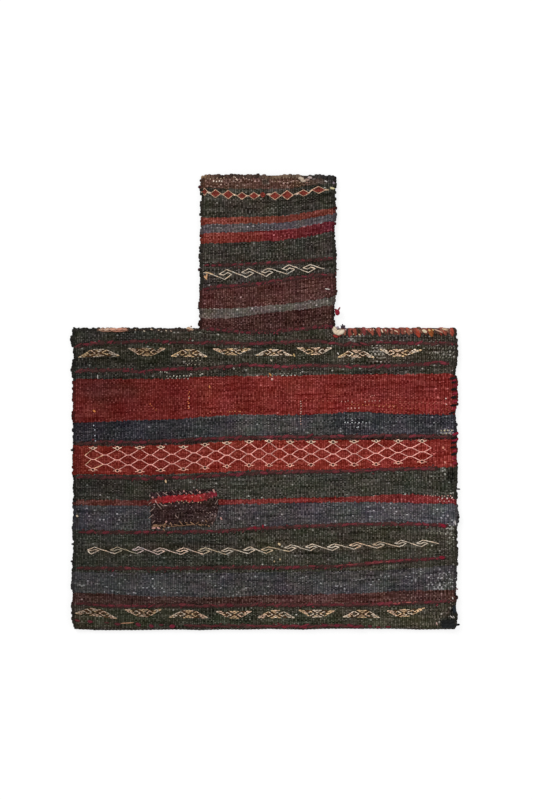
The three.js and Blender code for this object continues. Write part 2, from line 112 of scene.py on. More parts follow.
def row_of(y):
    """Photograph row of a place up the bag."""
    return PHOTO_MIDDLE[1] - np.asarray(y, float) / PIXEL


def read(chart, at):
    """Values of a chart {station: value}, straight between its stations."""
    keys = sorted(chart)
    values = np.array([chart[key] for key in keys], float)
    if values.ndim == 1:
        return np.interp(at, keys, values)
    return np.stack([np.interp(at, keys, values[:, i]) for i in range(values.shape[1])], -1)


def dye(colour, toe=0.04045, toe_slope=12.92, lift=0.055, power=2.4):
    """Linear colour from the colour as it looks, 0 to 255: the usual screen curve undone."""
    share = np.clip(np.asarray(colour, float) / 255, 0, 1)
    curved = ((share + lift) / (1 + lift)) ** power
    return np.where(share <= toe, share / toe_slope, curved)


def stack(*parts):
    """Arrays of one coordinate each, spread to a common shape and joined as points."""
    return np.stack(np.broadcast_arrays(*parts), -1)


def gathered(rows):
    """The columns of a list of rows of arrays, each joined to one array."""
    return [np.concatenate(column) for column in zip(*rows)]


# Form of the lying bag

def rise(distance, reach):
    """1 - (1 - d/reach) squared: 0 at an edge, 1 from the reach on."""
    share = np.clip(distance / reach, 0, 1)
    return 1 - (1 - share) ** 2


def ease(share):
    """3s squared - 2s cubed, held between 0 and 1."""
    share = np.clip(share, 0, 1)
    return share * share * (3 - 2 * share)


def inside_neck(x):
    """Way in from the nearer side of the neck."""
    return np.minimum(x - NECK_LEFT, NECK_RIGHT - x)


def inside_body(x):
    """Way in from the nearer side of the body."""
    return np.minimum(x - BODY_LEFT, BODY_RIGHT - x)


def edge_distance(x, y):
    """Way in from the nearest finished edge: the sides, the shoulders, the neck's sides or the mouth."""
    under = SHOULDER_Y - y
    in_neck = inside_neck(x)
    to_shoulder = np.where(in_neck < 0, under, np.hypot(in_neck, under))
    in_body = np.minimum(inside_body(x), to_shoulder)
    return np.where(y > SHOULDER_Y, np.minimum(in_neck, MOUTH_Y - y), in_body)


def layer_gap(x, y):
    """Air between the layers: a belly that falls to the seams and the fold, and one in the neck."""
    over_fold = rise(y - BEND_Y, BODY_REACH)
    neck = NECK_BELLY * rise(inside_neck(x), NECK_REACH)
    body = BODY_BELLY * rise(inside_body(x), BODY_REACH) * over_fold
    share = ease((y - SHOULDER_Y + BODY_REACH) / BODY_REACH)
    below = FOLD_GAP + (SEAM_GAP - FOLD_GAP) * over_fold + body + (neck - body) * share
    return np.where(y >= SHOULDER_Y, SEAM_GAP + neck, below)


def back_base(x, y):
    """Height of the back's outer face: on the ground, a little up where overcasting passes under it."""
    return RIB_DEPTH / 2 + EDGE_LIFT * (1 - rise(edge_distance(x, y) - EDGE_FLAT, EDGE_REACH))


def slack(x, y, depth=0.0010, flat=0.006, reach=0.06, fold_reach=0.05):
    """Slack of the front: long crossed sine waves that die out at the edges and at the fold."""
    fade = rise(edge_distance(x, y) - flat, reach) * rise(y - BEND_Y, fold_reach)
    waves = [share * np.sin(TAU * (x / across + y / up + phase)) for across, up, phase, share in SLACK_WAVES]
    return depth * fade * sum(waves)


def front_height(x, y):
    """Height of the front's outer face, without its ribs."""
    return back_base(x, y) + 2 * CLOTH + layer_gap(x, y) + slack(x, y)


# Outline: photo column of each side at stations down the bag, wraps included
LEFT_EDGE = {
    328: 73.6, 333: 72.4, 340: 71.2, 349: 73, 358: 73.8, 369: 71.6, 374: 73, 410: 73, 416: 71.9, 421: 73.2,
    446: 73.4, 455: 72.6, 485: 73.5, 520: 73.6, 528: 72.7, 536: 73.5, 555: 73.6, 572: 72.5, 588: 71.2,
    593: 73.6, 604: 71.7, 618: 72.1, 624: 73, 629: 75.4,
}
RIGHT_EDGE = {
    328: 455.8, 340: 457.1, 354: 458.5, 364: 457.1, 375: 455.7, 381: 457.4, 402: 458.2, 413: 455.8,
    421: 456.7, 433: 457.6, 460: 457.1, 472: 458, 485: 456.9, 505: 457.5, 518: 458.7, 527: 457.7, 545: 457.2,
    555: 458.2, 582: 456.5, 592: 456, 598: 457.8, 604: 456.5, 624: 457.4, 629: 455.6,
}
NECK_LEFT_EDGE = {
    176: 201, 187: 199.6, 195: 201.5, 205: 200, 232: 200.3, 240: 201, 254: 198.9, 265: 200, 269: 199,
    279: 201, 290: 199.4, 302: 199.4, 308: 198.6, 320: 200.2, 325: 198.6, 328.5: 200,
}
NECK_RIGHT_EDGE = {
    176: 335.6, 181: 336.6, 195: 335.1, 212: 336.3, 228: 334.9, 243: 334.7, 256: 336.1, 264: 337, 279: 335.5,
    291: 336.7, 305: 335, 322: 334.2, 328.5: 335.5,
}
# Photo row of the mouth's edge and of the folded foot at stations across
MOUTH_ROWS = {
    200: 175.4, 204: 174.4, 209: 175, 217: 174.2, 221: 175.5, 230: 174.2, 234: 173.5, 242: 175.4, 246: 174.5,
    250: 175.4, 256: 174.1, 263: 175.2, 268: 176.1, 278: 175.5, 290: 174.1, 300: 175, 308: 175.7, 318: 174.8,
    336: 175.6,
}
FOLD_ROWS = {
    72: 628.8, 96: 630.2, 130: 630.2, 160: 629.8, 178: 629.5, 200: 630.2, 222: 629.5, 250: 629.6, 268: 629,
    302: 629.7, 328: 628.8, 366: 628.8, 394: 628.8, 420: 629.6, 457: 629,
}
# How far in a side's wander reaches, and how much of the wraps shows past the cloth at each edge
EDGE_WANDER = 0.020
LEFT_WRAP_SEEN, WRAP_SEEN, MOUTH_WRAP_SEEN = 0.0003, 0.0010, 0.0013


def edge_shift(x, y):
    """Sideways shift of the sides to the charted outline, fading inwards as (1 - d/reach) squared."""
    row, neck = row_of(y), np.asarray(y) > SHOULDER_Y
    left, right = np.where(neck, NECK_LEFT, BODY_LEFT), np.where(neck, NECK_RIGHT, BODY_RIGHT)
    seen = np.where(neck, WRAP_SEEN, LEFT_WRAP_SEEN)
    edge_left = np.where(neck, read(NECK_LEFT_EDGE, row), read(LEFT_EDGE, row))
    edge_right = np.where(neck, read(NECK_RIGHT_EDGE, row), read(RIGHT_EDGE, row))
    at_left, at_right = to_x(edge_left) + seen - left, to_x(edge_right) - WRAP_SEEN - right
    return at_left * (1 - rise(x - left, EDGE_WANDER)) + at_right * (1 - rise(right - x, EDGE_WANDER))


def mouth_shift(x, y, touch=1e-6):
    """Shift along the bag that brings the mouth's wraps to the charted edge; nothing on other edges."""
    edge = to_y(read(MOUTH_ROWS, column_of(x))) - MOUTH_WRAP_SEEN - MOUTH_Y
    return np.where(np.abs(y - MOUTH_Y) < touch, edge, 0.0)


def droop(x, seen=0.6):
    """How far the fold hangs below its level: the charted foot, never above it."""
    return np.maximum(FOLD_Y - to_y(read(FOLD_ROWS, column_of(x)) + seen), 0.0)


# Stripes from the mouth down: dyes across, share of worn beads, and the border at the stripe's foot
YOKE = {72: 328.9, 199: 328.9, 210: 329.6, 225: 330.6, 260: 332, 290: 330.6, 320: 329, 337: 328.9, 458: 328.9}
NECK_STRIPES = [
    ({200: (94, 68, 55), 260: (86, 58, 50), 300: (80, 58, 45), 318: (82, 64, 55), 332: (52, 46, 43)}, 0.22,
     {198: 186.5, 215: 188, 235: 188.8, 262: 189, 285: 189, 300: 187, 315: 184.5, 336: 183}),
    ({200: (58, 54, 46), 336: (55, 52, 45)}, 0.07, {198: 217.5, 240: 217.3, 270: 216.5, 290: 215.5,
     300: 213.5, 315: 210.3, 336: 207.5}),
    ({200: (122, 57, 47), 270: (112, 55, 42), 336: (106, 50, 42)}, 0.08, {198: 224, 240: 224, 270: 223.5,
     290: 222, 305: 219, 320: 216, 336: 213.5}),
    ({200: (87, 79, 80), 336: (85, 78, 81)}, 0.14, {198: 232.8, 240: 232.3, 262: 231, 290: 229.5, 305: 226.5,
     320: 223, 336: 220.5}),
    ({200: (116, 49, 38), 260: (110, 43, 38), 275: (108, 38, 41), 300: (100, 38, 39), 336: (100, 34, 44)},
     0.04, {198: 242.5, 220: 243.3, 250: 241.8, 280: 240.8, 300: 238, 315: 235, 336: 229.5}),
    ({200: (56, 52, 46), 336: (58, 54, 47)}, 0.08, {198: 288.5, 220: 286.5, 240: 285, 260: 283, 280: 280,
     300: 276.8, 320: 275, 336: 274}),
    ({200: (75, 42, 38), 336: (80, 49, 44)}, 0.05, {198: 308.5, 230: 308.5, 260: 306.5, 280: 304.5,
     300: 302.5, 315: 300, 336: 296}),
    ({200: (96, 85, 79), 250: (100, 91, 85), 336: (93, 84, 78)}, 0.15, {198: 318, 230: 318.3, 250: 315.5,
     270: 313, 285: 311, 305: 309.5, 320: 307, 336: 304}),
    ({200: (64, 36, 32), 336: (64, 38, 34)}, 0.03, YOKE),
]
BODY_STRIPES = [
    ({72: (46, 44, 39), 145: (52, 49, 43), 205: (58, 54, 46), 457: (61, 55, 48)}, 0.09, {72: 379, 150: 379,
     180: 378.7, 200: 376.5, 250: 376, 300: 375.5, 335: 374.3, 400: 374.3, 457: 373.7}),
    ({72: (93, 34, 30), 180: (102, 33, 29), 215: (112, 39, 34), 300: (120, 44, 38), 457: (117, 39, 35)}, 0.04,
     {72: 423, 100: 422, 120: 420.5, 150: 420, 180: 419, 200: 417, 240: 414.5, 290: 415, 320: 414, 350: 412,
     370: 411.5, 385: 413.5, 420: 414.5, 457: 414.5}),
    ({72: (44, 42, 47), 180: (47, 47, 51), 215: (66, 64, 65), 300: (71, 69, 68), 340: (54, 54, 56),
     457: (57, 55, 61)}, 0.08, {72: 442, 120: 440.5, 150: 440, 190: 438, 220: 437, 260: 435.5, 300: 435,
     400: 434.5, 457: 434}),
    ({72: (50, 38, 34), 457: (54, 38, 34)}, 0.1, {72: 444.5, 95: 446.3, 140: 446.3, 160: 445, 190: 445,
     200: 443.5, 240: 440.5, 260: 440, 400: 440, 457: 439}),
    ({72: (107, 36, 28), 160: (114, 38, 30), 225: (127, 46, 36), 457: (127, 44, 37)}, 0.02, {72: 474,
     120: 474.5, 160: 474.5, 200: 473, 240: 471, 260: 470, 350: 470, 400: 468.5, 457: 467}),
    ({72: (46, 44, 38), 150: (53, 49, 43), 215: (61, 58, 51), 457: (61, 59, 51)}, 0.11, {72: 500, 148: 500,
     220: 499.5, 260: 499, 300: 497.5, 340: 497, 370: 496, 395: 494, 420: 494.5, 440: 497, 457: 499}),
    ({72: (80, 43, 37), 148: (88, 44, 39), 225: (116, 47, 43), 300: (120, 48, 43), 355: (110, 43, 39),
     457: (123, 45, 45)}, 0.04, {72: 505.5, 148: 505.5, 220: 504.5, 260: 503.5, 300: 502.5, 340: 502,
     370: 502, 395: 502.5, 457: 504}),
    ({72: (60, 59, 63), 205: (64, 59, 58), 250: (66, 62, 62), 300: (70, 67, 69), 457: (82, 79, 82)}, 0.16,
     {72: 530, 220: 530, 260: 528, 300: 525.5, 340: 524, 380: 523, 420: 524, 457: 526}),
    ({72: (50, 50, 43), 205: (50, 50, 43), 270: (58, 56, 47), 457: (65, 61, 52)}, 0.1, {72: 572, 150: 573,
     220: 573, 260: 572, 300: 571.5, 340: 570.5, 380: 570, 420: 568, 457: 565}),
    ({72: (63, 61, 62), 300: (67, 64, 64), 457: (69, 66, 67)}, 0.2, {72: 593, 110: 593.5, 150: 596, 220: 597,
     240: 597, 260: 595, 300: 594.5, 340: 593.5, 370: 592.5, 400: 591, 457: 590}),
    ({72: (62, 41, 37), 200: (62, 42, 38), 270: (72, 46, 42), 355: (81, 50, 45), 457: (74, 49, 44)}, 0.06,
     {72: 604.5, 100: 606.5, 200: 607, 260: 606, 300: 606.5, 370: 605.5, 400: 604.5, 457: 601.5}),
    ({72: (56, 50, 42), 205: (52, 49, 41), 300: (58, 54, 45), 457: (66, 62, 52)}, 0.08, None),
]
STRIPES = NECK_STRIPES + BODY_STRIPES
# Worn spots, where pale warps show: middle column and row, half width, half height, share of worn beads
WORN_SPOTS = [
    (214, 182, 9, 5, 0.25), (242, 180, 10, 4, 0.25), (290, 182, 20, 5, 0.2), (192, 363, 9, 4, 0.4),
    (192, 376, 12, 3, 0.5), (378, 352, 7, 9, 0.9), (180, 329, 26, 3, 0.5), (446, 432, 8, 3, 0.9),
    (440, 582, 12, 7, 0.25), (355, 337, 14, 4, 0.6), (452, 528, 5, 8, 0.45), (450, 540, 6, 12, 0.2),
    (352, 358, 8, 3, 0.5),
]
# Spots where the cloth is darker, lighter or tinted: middle column and row, half width, half height, and what
# they leave of red, green and blue
TONE_SPOTS = [
    (453, 475, 9, 12, 0.3, 0.3, 0.3), (455, 612, 7, 11, 0.3, 0.38, 0.38), (450, 623, 14, 9, 0.3, 0.36, 0.36),
    (108, 391, 40, 15, 0.72, 0.98, 0.96), (76, 513, 5, 18, 0.7, 0.62, 0.55), (330, 179, 9, 6, 0.6, 0.66, 0.7),
    (130, 374, 80, 6, 0.8, 0.7, 0.7), (210, 374, 60, 4, 0.84, 0.82, 0.82),
    (390, 406, 90, 9, 1.18, 1.12, 1.14), (375, 387, 80, 9, 0.91, 0.88, 0.88),
    (130, 361, 62, 6, 0.8, 0.8, 0.74), (130, 353, 95, 14, 0.82, 0.8, 0.7),
    (265, 353, 95, 14, 0.84, 0.87, 0.77), (385, 353, 85, 14, 0.96, 0.94, 0.8),
    (130, 618, 95, 17, 1.04, 1.18, 1.02), (265, 618, 95, 17, 0.98, 1.12, 0.97),
    (385, 618, 75, 17, 1.08, 1.14, 1.02), (170, 550, 110, 7, 1.05, 0.9, 0.8),
    (330, 547, 110, 7, 1.07, 0.95, 0.82), (265.5, 181, 5, 7, 0.68, 1.08, 1.12),
    (74, 460, 9, 20, 0.74, 0.66, 0.86),
]


def spot_tone(x, y):
    """What the spots leave of each dye: all outside its ellipse, falling softly to its share inside."""
    column, row = column_of(x), row_of(y)
    left = np.ones(column.shape + (3,))
    for middle_x, middle_y, half_x, half_y, *share in TONE_SPOTS:
        inside = ease(2 * (1 - np.hypot((column - middle_x) / half_x, (row - middle_y) / half_y)))
        left *= 1 + inside[..., None] * (np.array(share) - 1)
    return left


def worn_curve(share):
    """Share of worn beads as the wool takes it: half its square."""
    return 0.5 * share ** 2


def worn_share(x, y, base, edge_worn=0.15, worn_from=415, worn_over=30):
    """Share of worn beads: the stripe's own, rounded humps at worn spots, and a rise at the right edge."""
    column, row = column_of(x), row_of(y)
    share = np.broadcast_to(base, column.shape).copy()
    for middle_x, middle_y, half_x, half_y, amount in WORN_SPOTS:
        reach = ((column - middle_x) / half_x) ** 2 + ((row - middle_y) / half_y) ** 2
        share += amount * np.clip(1 - 0.5 * reach, 0, 1)
    share += edge_worn * ease((column - worn_from) / worn_over)
    return worn_curve(np.clip(share, 0, 1))


def stripe_dye(points):
    """Dye of the stripe that each place on the front lies in."""
    column, row = column_of(points[:, 0]), row_of(points[:, 1])
    feet = np.stack([read(foot, column) for _, _, foot in STRIPES[:-1]])
    dyes = np.stack([read(chart, column) for chart, _, _ in STRIPES])
    return dye(dyes[(row > feet).sum(0), np.arange(len(points))])


# The strip of cloth

def border(chart, x, blur=7, samples=7):
    """Height of a stripe border: straight between its stations, evened out over a few ribs."""
    spread = np.linspace(-blur, blur, samples)
    return to_y(read(chart, column_of(x)[..., None] + spread).mean(-1))


def stripe_rows(top, foot, cell):
    """Rows of one stripe, evenly spaced from just under its upper border to just above its lower one."""
    count = max(1, round(float(np.mean(top - foot)) / cell))
    share = np.linspace(0, 1, count + 1)[:, None]
    return (top - BORDER_LAP) * (1 - share) + (foot + BORDER_LAP) * share


def rows_of_stripes(lines, cell, order):
    """Rows of the stripes between border lines, the stripe of each row, and how many are the neck's."""
    rows = [stripe_rows(lines[number], lines[number + 1], cell) for number in order]
    stripe = [number for number, made in zip(order, rows) for _ in made]
    return rows, stripe, sum(number < len(NECK_STRIPES) for number in stripe)


def front_levels(rib, seed=13, raggedness=0.00042):
    """Heights of the front's rows at each warp, ragged from rib to rib, their stripes and the neck's rows."""
    x = warp_place(rib)
    ragged = np.random.default_rng(seed).normal(0, raggedness, (len(STRIPES), RIBS + 1))
    lines = [np.full_like(x, MOUTH_Y + BORDER_LAP)]
    lines += [border(foot, x) + uneven[rib.astype(int)] for (_, _, foot), uneven in zip(STRIPES[:-1], ragged)]
    lines.append(np.full_like(x, BEND_Y - BORDER_LAP))
    yoke = len(NECK_STRIPES)
    lines[yoke] = np.where(inside_neck(x) < 0, SHOULDER_Y, lines[yoke])
    rows, stripe, neck_rows = rows_of_stripes(lines, ROW_CELL, range(len(STRIPES)))
    return np.concatenate(rows), stripe, neck_rows


def back_levels(x, samples=9):
    """Heights of the back's rows from the fold up: the same stripes with level borders."""
    middle = np.linspace(NECK_LEFT, NECK_RIGHT, samples)
    levels = [MOUTH_Y + BORDER_LAP]
    levels += [float(border(foot, middle).mean()) for _, _, foot in STRIPES[:-1]]
    levels.append(BEND_Y - BORDER_LAP)
    levels[len(NECK_STRIPES)] = SHOULDER_Y
    lines = [np.full_like(x, level) for level in levels]
    rows, stripe, neck_rows = rows_of_stripes(lines, BACK_CELL, range(len(STRIPES))[::-1])
    return np.concatenate([made[::-1] for made in rows]), stripe, neck_rows


def warp_place(rib):
    """Place across of a warp rib: even spacing left of the neck, in it and right of it."""
    counts = np.concatenate([[0], np.cumsum(SIDE_AND_NECK_RIBS)])
    return np.interp(rib, counts, [BODY_LEFT, NECK_LEFT, NECK_RIGHT, BODY_RIGHT])


def sway(rib, y):
    """Sideways wander of the ribs: sine waves up the cloth whose phase drifts from rib to rib."""
    waves = [reach * np.sin(TAU * (y / length + drift * np.sin(rib * turn + start)))
             for reach, length, drift, turn, start in SWAY_WAVES]
    return sum(waves) + edge_shift(warp_place(rib), y)


def rib_relief(rib, seed=11, crests=(0.6, 1.3)):
    """Relief across the ribs: RIB_DEPTH * (crest * (1 - (2s - 1) squared) - 1/2), with uneven crests."""
    pair = np.asarray(rib) / 2
    uneven = np.random.default_rng(seed).uniform(*crests, RIBS // 2 + 1)
    arch = 1 - (2 * (pair - np.floor(pair)) - 1) ** 2
    return RIB_DEPTH * (arch * uneven[np.floor(pair).astype(int)] - 0.5)


def cloth_points(rib, depth, relief):
    """Points of the folded strip at a depth under its outer face.

    Front rows run down from the mouth at front_height, a half circle turns round the fold, and back rows
    run up at back_base. Relief is added outwards.
    """
    x = warp_place(rib)
    front, back = front_levels(rib)[0], back_levels(x)[0]
    front_x, back_x, bend_x = x + sway(rib, front), x + sway(rib, back), x + sway(rib, BEND_Y)
    angle = np.linspace(0, math.pi, FOLD_STEPS + 1)[1:-1][:, None]
    radius = CLOTH + FOLD_GAP / 2 - depth + relief
    middle = back_base(bend_x, BEND_Y) + CLOTH + FOLD_GAP / 2
    return np.concatenate([
        stack(front_x, front, front_height(front_x, front) - depth + relief),
        stack(bend_x, BEND_Y - (radius + droop(bend_x)) * np.sin(angle), middle + radius * np.cos(angle)),
        stack(back_x, back, back_base(back_x, back) + depth - relief),
    ])


def wall(fine, coarse):
    """Triangles that close the strip between an outer edge and a lining edge with fewer points."""
    ratio = (len(fine) - 1) // (len(coarse) - 1)
    half = ratio // 2
    step = np.arange(len(fine) - 1)
    near = coarse[step // ratio + (step % ratio >= half)]
    fans = np.stack([fine[:-1], fine[1:], near], -1)
    bases = np.stack([fine[half:-1:ratio], coarse[1:], coarse[:-1]], -1)
    return np.concatenate([fans, bases])


def grid_quads(ids):
    """Quads between neighbouring rows and columns of a grid of point numbers."""
    return np.stack([ids[:-1, :-1], ids[1:, :-1], ids[1:, 1:], ids[:-1, 1:]], -1)


def add(name, data):
    """A new object in the scene, at the origin."""
    thing = bpy.data.objects.new(name, data)
    bpy.context.scene.collection.objects.link(thing)
    return thing


def make_piece(name, points, quads, triangles, uv_name, corner_uv, colours, worn=None):
    """A mesh object from whole arrays: points, quads, triangles, a UV per corner and a dye per point."""
    def put(data, key, values, kind=np.float32):
        data.foreach_set(key, np.ascontiguousarray(values, kind).ravel())

    mesh = bpy.data.meshes.new(name)
    corners = np.concatenate([quads.ravel(), triangles.ravel()])
    starts = np.concatenate([np.arange(len(quads)) * 4, len(quads) * 4 + np.arange(len(triangles)) * 3])
    mesh.vertices.add(len(points))
    put(mesh.vertices, "co", points)
    mesh.loops.add(len(corners))
    put(mesh.loops, "vertex_index", corners, np.int32)
    mesh.polygons.add(len(starts))
    put(mesh.polygons, "loop_start", starts, np.int32)
    mesh.update(calc_edges=True)
    put(mesh.polygons, "use_smooth", np.ones(len(starts)), bool)
    put(mesh.uv_layers.new(name=uv_name).data, "uv", corner_uv)
    rgba = np.concatenate([colours, np.ones((len(colours), 1))], 1)
    put(mesh.attributes.new("dye", "FLOAT_COLOR", "POINT").data, "color", rgba)
    if worn is not None:
        put(mesh.attributes.new("worn", "FLOAT", "POINT").data, "value", worn)
    mesh.validate()
    return add(name, mesh)


def dress(piece, wool, slot, *nodes):
    """Gives a piece its wool and its place in the frame."""
    piece.data.materials.append(wool)
    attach(piece, "root")
    if nodes:
        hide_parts(*nodes)


def woven_cloth(wool):
    """The bag's one strip of cloth: a ribbed outer face and a smooth lining, closed along every edge."""
    outer_rib = np.arange(RIBS * COLUMNS_PER_RIB + 1) / COLUMNS_PER_RIB
    inner_rib = outer_rib[::LINING_STRIDE]
    outer = cloth_points(outer_rib, 0.0, rib_relief(outer_rib))
    inner = cloth_points(inner_rib, CLOTH, 0.0)
    _, front_stripe, front_neck = front_levels(outer_rib)
    _, back_stripe, back_neck = back_levels(warp_place(outer_rib))
    stripe = front_stripe + [front_stripe[-1]] * (FOLD_STEPS - 1) + back_stripe
    front = len(front_stripe)
    first, last = front_neck, len(outer) - 1 - back_neck
    row = np.arange(len(outer) - 1)[:, None]
    wide = (row >= first) & (row < last)
    neck_ribs = SIDE_AND_NECK_RIBS[0], sum(SIDE_AND_NECK_RIBS[:2])

    def face(ids, rib):
        neck = (rib >= neck_ribs[0]) & (rib < neck_ribs[1])
        return grid_quads(ids)[wide | neck[None, :-1]]

    def rim(ids, left, right):
        return [
            ids[0, left:right + 1], ids[-1, left:right + 1][::-1],
            ids[first, :left + 1], ids[first, right:], ids[last, :left + 1][::-1], ids[last, right:][::-1],
            ids[first:last + 1, 0][::-1], ids[first:last + 1, -1],
            ids[:first + 1, left][::-1], ids[:first + 1, right], ids[last:, left][::-1], ids[last:, right],
        ]

    out = np.arange(outer.shape[0] * outer.shape[1]).reshape(outer.shape[:2])
    lining = out.size + np.arange(inner.shape[0] * inner.shape[1]).reshape(inner.shape[:2])
    quads = np.concatenate([face(out, outer_rib), face(lining, inner_rib)[:, ::-1]])
    left, right = (count * COLUMNS_PER_RIB for count in neck_ribs)
    rims = zip(rim(out, left, right), rim(lining, left // LINING_STRIDE, right // LINING_STRIDE))
    walls = np.concatenate([wall(fine, coarse) for fine, coarse in rims])
    step = np.linalg.norm(np.diff(outer[:, left:right + 1].mean(1)[:, 1:], axis=0), axis=1)
    pick = np.concatenate([[0], np.cumsum(step)]) / PICK

    def finish(points, rib):
        column = column_of(warp_place(rib))
        colours = np.stack([dye(read(STRIPES[number][0], column)) for number in stripe])
        colours[:front] *= spot_tone(points[:front, :, 0], points[:front, :, 1])
        base = np.array([STRIPES[number][1] for number in stripe])[:, None]
        worn = worn_share(points[..., 0], points[..., 1], np.broadcast_to(base, points.shape[:2]))
        worn[front:] = worn_curve(base[front:])
        weave = stack(rib[None, :], pick[:, None])
        return points.reshape(-1, 3), colours.reshape(-1, 3), worn.ravel(), weave.reshape(-1, 2)

    points, colours, worn, weave = gathered([finish(outer, outer_rib), finish(inner, inner_rib)])
    used, index = np.unique(np.concatenate([quads.ravel(), walls.ravel()]), return_inverse=True)
    quads, walls = index[:quads.size].reshape(-1, 4), index[quads.size:].reshape(-1, 3)
    corner_uv = weave[used][np.concatenate([quads.ravel(), walls.ravel()])]
    cloth = make_piece("cloth", points[used], quads, walls, "weave", corner_uv, colours[used], worn[used])
    panels = "woven_back", "woven_front_left", "woven_front_middle", "woven_front_right"
    dress(cloth, wool, "striped_wool", *panels)


# Yarns

FLOAT_SHARES = np.array([0.04, 0.24, 0.5, 0.76, 0.96])
FLOAT_TAPER = (1 - np.abs(2 * FLOAT_SHARES - 1) ** 4) ** 0.5


def tubes(paths, width, height, broad, sides=6, tip_share=0.35):
    """Yarns: an ellipse carried along each path, closed to a point at both ends.

    A point is path + side * w/2 * cos a + normal * h/2 * sin a, where side lies in the broad direction.
    Returns points by yarn, quads, triangles and a UV per corner: length in widths, and turn.
    """
    count, length = paths.shape[:2]
    tangent = np.gradient(paths, axis=1)
    tangent /= np.linalg.norm(tangent, axis=2, keepdims=True)
    normal = np.cross(tangent, np.broadcast_to(broad[:, None], paths.shape))
    normal /= np.linalg.norm(normal, axis=2, keepdims=True)
    side = np.cross(normal, tangent)
    turn = TAU * np.arange(sides) / sides
    half_w, half_h = width[:, :, None, None] / 2, height[:, :, None, None] / 2
    ring = paths[:, :, None] + side[:, :, None] * half_w * np.cos(turn)[:, None]
    ring = ring + normal[:, :, None] * half_h * np.sin(turn)[:, None]
    tip = tip_share * height[:, [0, -1], None]
    ends = np.stack([paths[:, 0] - tangent[:, 0] * tip[:, 0], paths[:, -1] + tangent[:, -1] * tip[:, 1]], 1)
    points = np.concatenate([ring.reshape(count, -1, 3), ends], 1)

    size = length * sides + 2
    k, s = (grid.ravel() for grid in np.indices((length - 1, sides)))
    after, low, high = (s + 1) % sides, k * sides, (k + 1) * sides
    quad = stack(low + s, low + after, high + after, high + s)
    s0 = np.arange(sides)
    s1, top = (s0 + 1) % sides, (length - 1) * sides
    caps = np.concatenate([stack(size - 2, s1, s0), stack(size - 1, top + s0, top + s1)])
    offset = size * np.arange(count)[:, None, None]
    quads, triangles = (quad + offset).reshape(-1, 4), (caps + offset).reshape(-1, 3)

    run = np.linalg.norm(np.diff(paths, axis=1), axis=2).cumsum(1) / width.mean(1, keepdims=True)
    run = np.concatenate([np.zeros((count, 1)), run], 1)
    quad_uv = stack(run[:, stack(k, k, k + 1, k + 1)], stack(s, s + 1, s + 1, s) / sides)
    start_uv = stack(run[:, :1, None], stack(s0 + 0.5, s0 + 1, s0) / sides)
    end_uv = stack(run[:, -1:, None], stack(s0 + 0.5, s0, s0 + 1) / sides)
    cap_uv = np.concatenate([start_uv, end_uv], 1)
    return points, quads, triangles, np.concatenate([quad_uv.reshape(-1, 2), cap_uv.reshape(-1, 2)])


def yarn_piece(name, bundles, wool, slot, *nodes):
    """One dressed piece from bundles of (tubes, colour of each yarn)."""
    points, quads, triangles, quad_uv, cap_uv, colours = [], [], [], [], [], []
    base = 0
    for (p, q, t, uv), colour in bundles:
        colours.append(np.repeat(colour, p.shape[1], 0))
        points.append(p.reshape(-1, 3))
        quads.append(q + base)
        triangles.append(t + base)
        quad_uv.append(uv[:q.size])
        cap_uv.append(uv[q.size:])
        base += len(points[-1])
    corner_uv = np.concatenate(quad_uv + cap_uv)
    piece = make_piece(name, np.concatenate(points), np.concatenate(quads), np.concatenate(triangles),
                       "twist", corner_uv, np.concatenate(colours))
    dress(piece, wool, slot, *nodes)


def laid(starts, ends, width, height, lift=(0.0, 0.0), arc=0.55, sink=0.15):
    """Yarns laid on the front between photo points.

    At share s of its way a yarn's middle is above the cloth by lift + height * (arc sin(pi s) - sink).
    Its width and height swell as the square root of 1 - (2s - 1) to the 4th.
    """
    starts, ends = place(starts), place(ends)
    share = FLOAT_SHARES[:, None]
    flat = starts[:, None] * (1 - share) + ends[:, None] * share
    width = np.broadcast_to(np.asarray(width, float).reshape(-1, 1), (len(starts), 1))
    height = np.broadcast_to(np.asarray(height, float).reshape(-1, 1), (len(starts), 1))
    over = lift[0] + (lift[1] - lift[0]) * ease(FLOAT_SHARES)
    swell = height * (arc * np.sin(math.pi * FLOAT_SHARES) - sink)
    z = front_height(flat[..., 0], flat[..., 1]) + over + swell
    paths = np.concatenate([flat, z[..., None]], -1)
    way = ends - starts
    broad = np.stack([-way[:, 1], way[:, 0], np.zeros(len(way))], -1)
    return tubes(paths, width * FLOAT_TAPER, height * FLOAT_TAPER, broad)


def strokes(points, pitch, lap=0.12):
    """Cuts a charted line into floats about one pitch long, each lapping over the next."""
    points = np.asarray(points, float)
    leg = np.linalg.norm(np.diff(points, axis=0), axis=1)
    reach = np.concatenate([[0], np.cumsum(leg)])
    cuts = np.linspace(0, reach[-1], max(1, round(reach[-1] / pitch)) + 1)
    along = np.stack([np.interp(cuts, reach, points[:, 0]), np.interp(cuts, reach, points[:, 1])], -1)
    start, end = along[:-1], along[1:]
    extra = (end - start) * lap
    return start - extra, end + extra


def breadths(width, count, rng, least, most):
    """A breadth in metres for each yarn, drawn between two shares of a width in pixels."""
    return width * PIXEL * rng.uniform(least, most, count)


def shades(count, rng, spread, least, most):
    """A shade about 1 for each yarn, drawn by chance and held between two limits."""
    return np.clip(rng.normal(1, spread, (count, 1)), least, most)


def tint(colour, count, rng, spread=0.12):
    """One dye for each yarn, a little lighter or darker than the given one."""
    return dye(colour) * shades(count, rng, spread, least=0.5, most=1.6)


def thread_bundle(threads, lift=0.0, flatness=0.7):
    """Loose threads from rows of photo start, photo end, width in pixels and colour."""
    rows = np.array(threads, float)
    width = rows[:, 4] * PIXEL
    made = laid(rows[:, 0:2], rows[:, 2:4], width, width * flatness, lift=(lift, lift), arc=0.6, sink=0.0)
    return made, dye(rows[:, 5:])


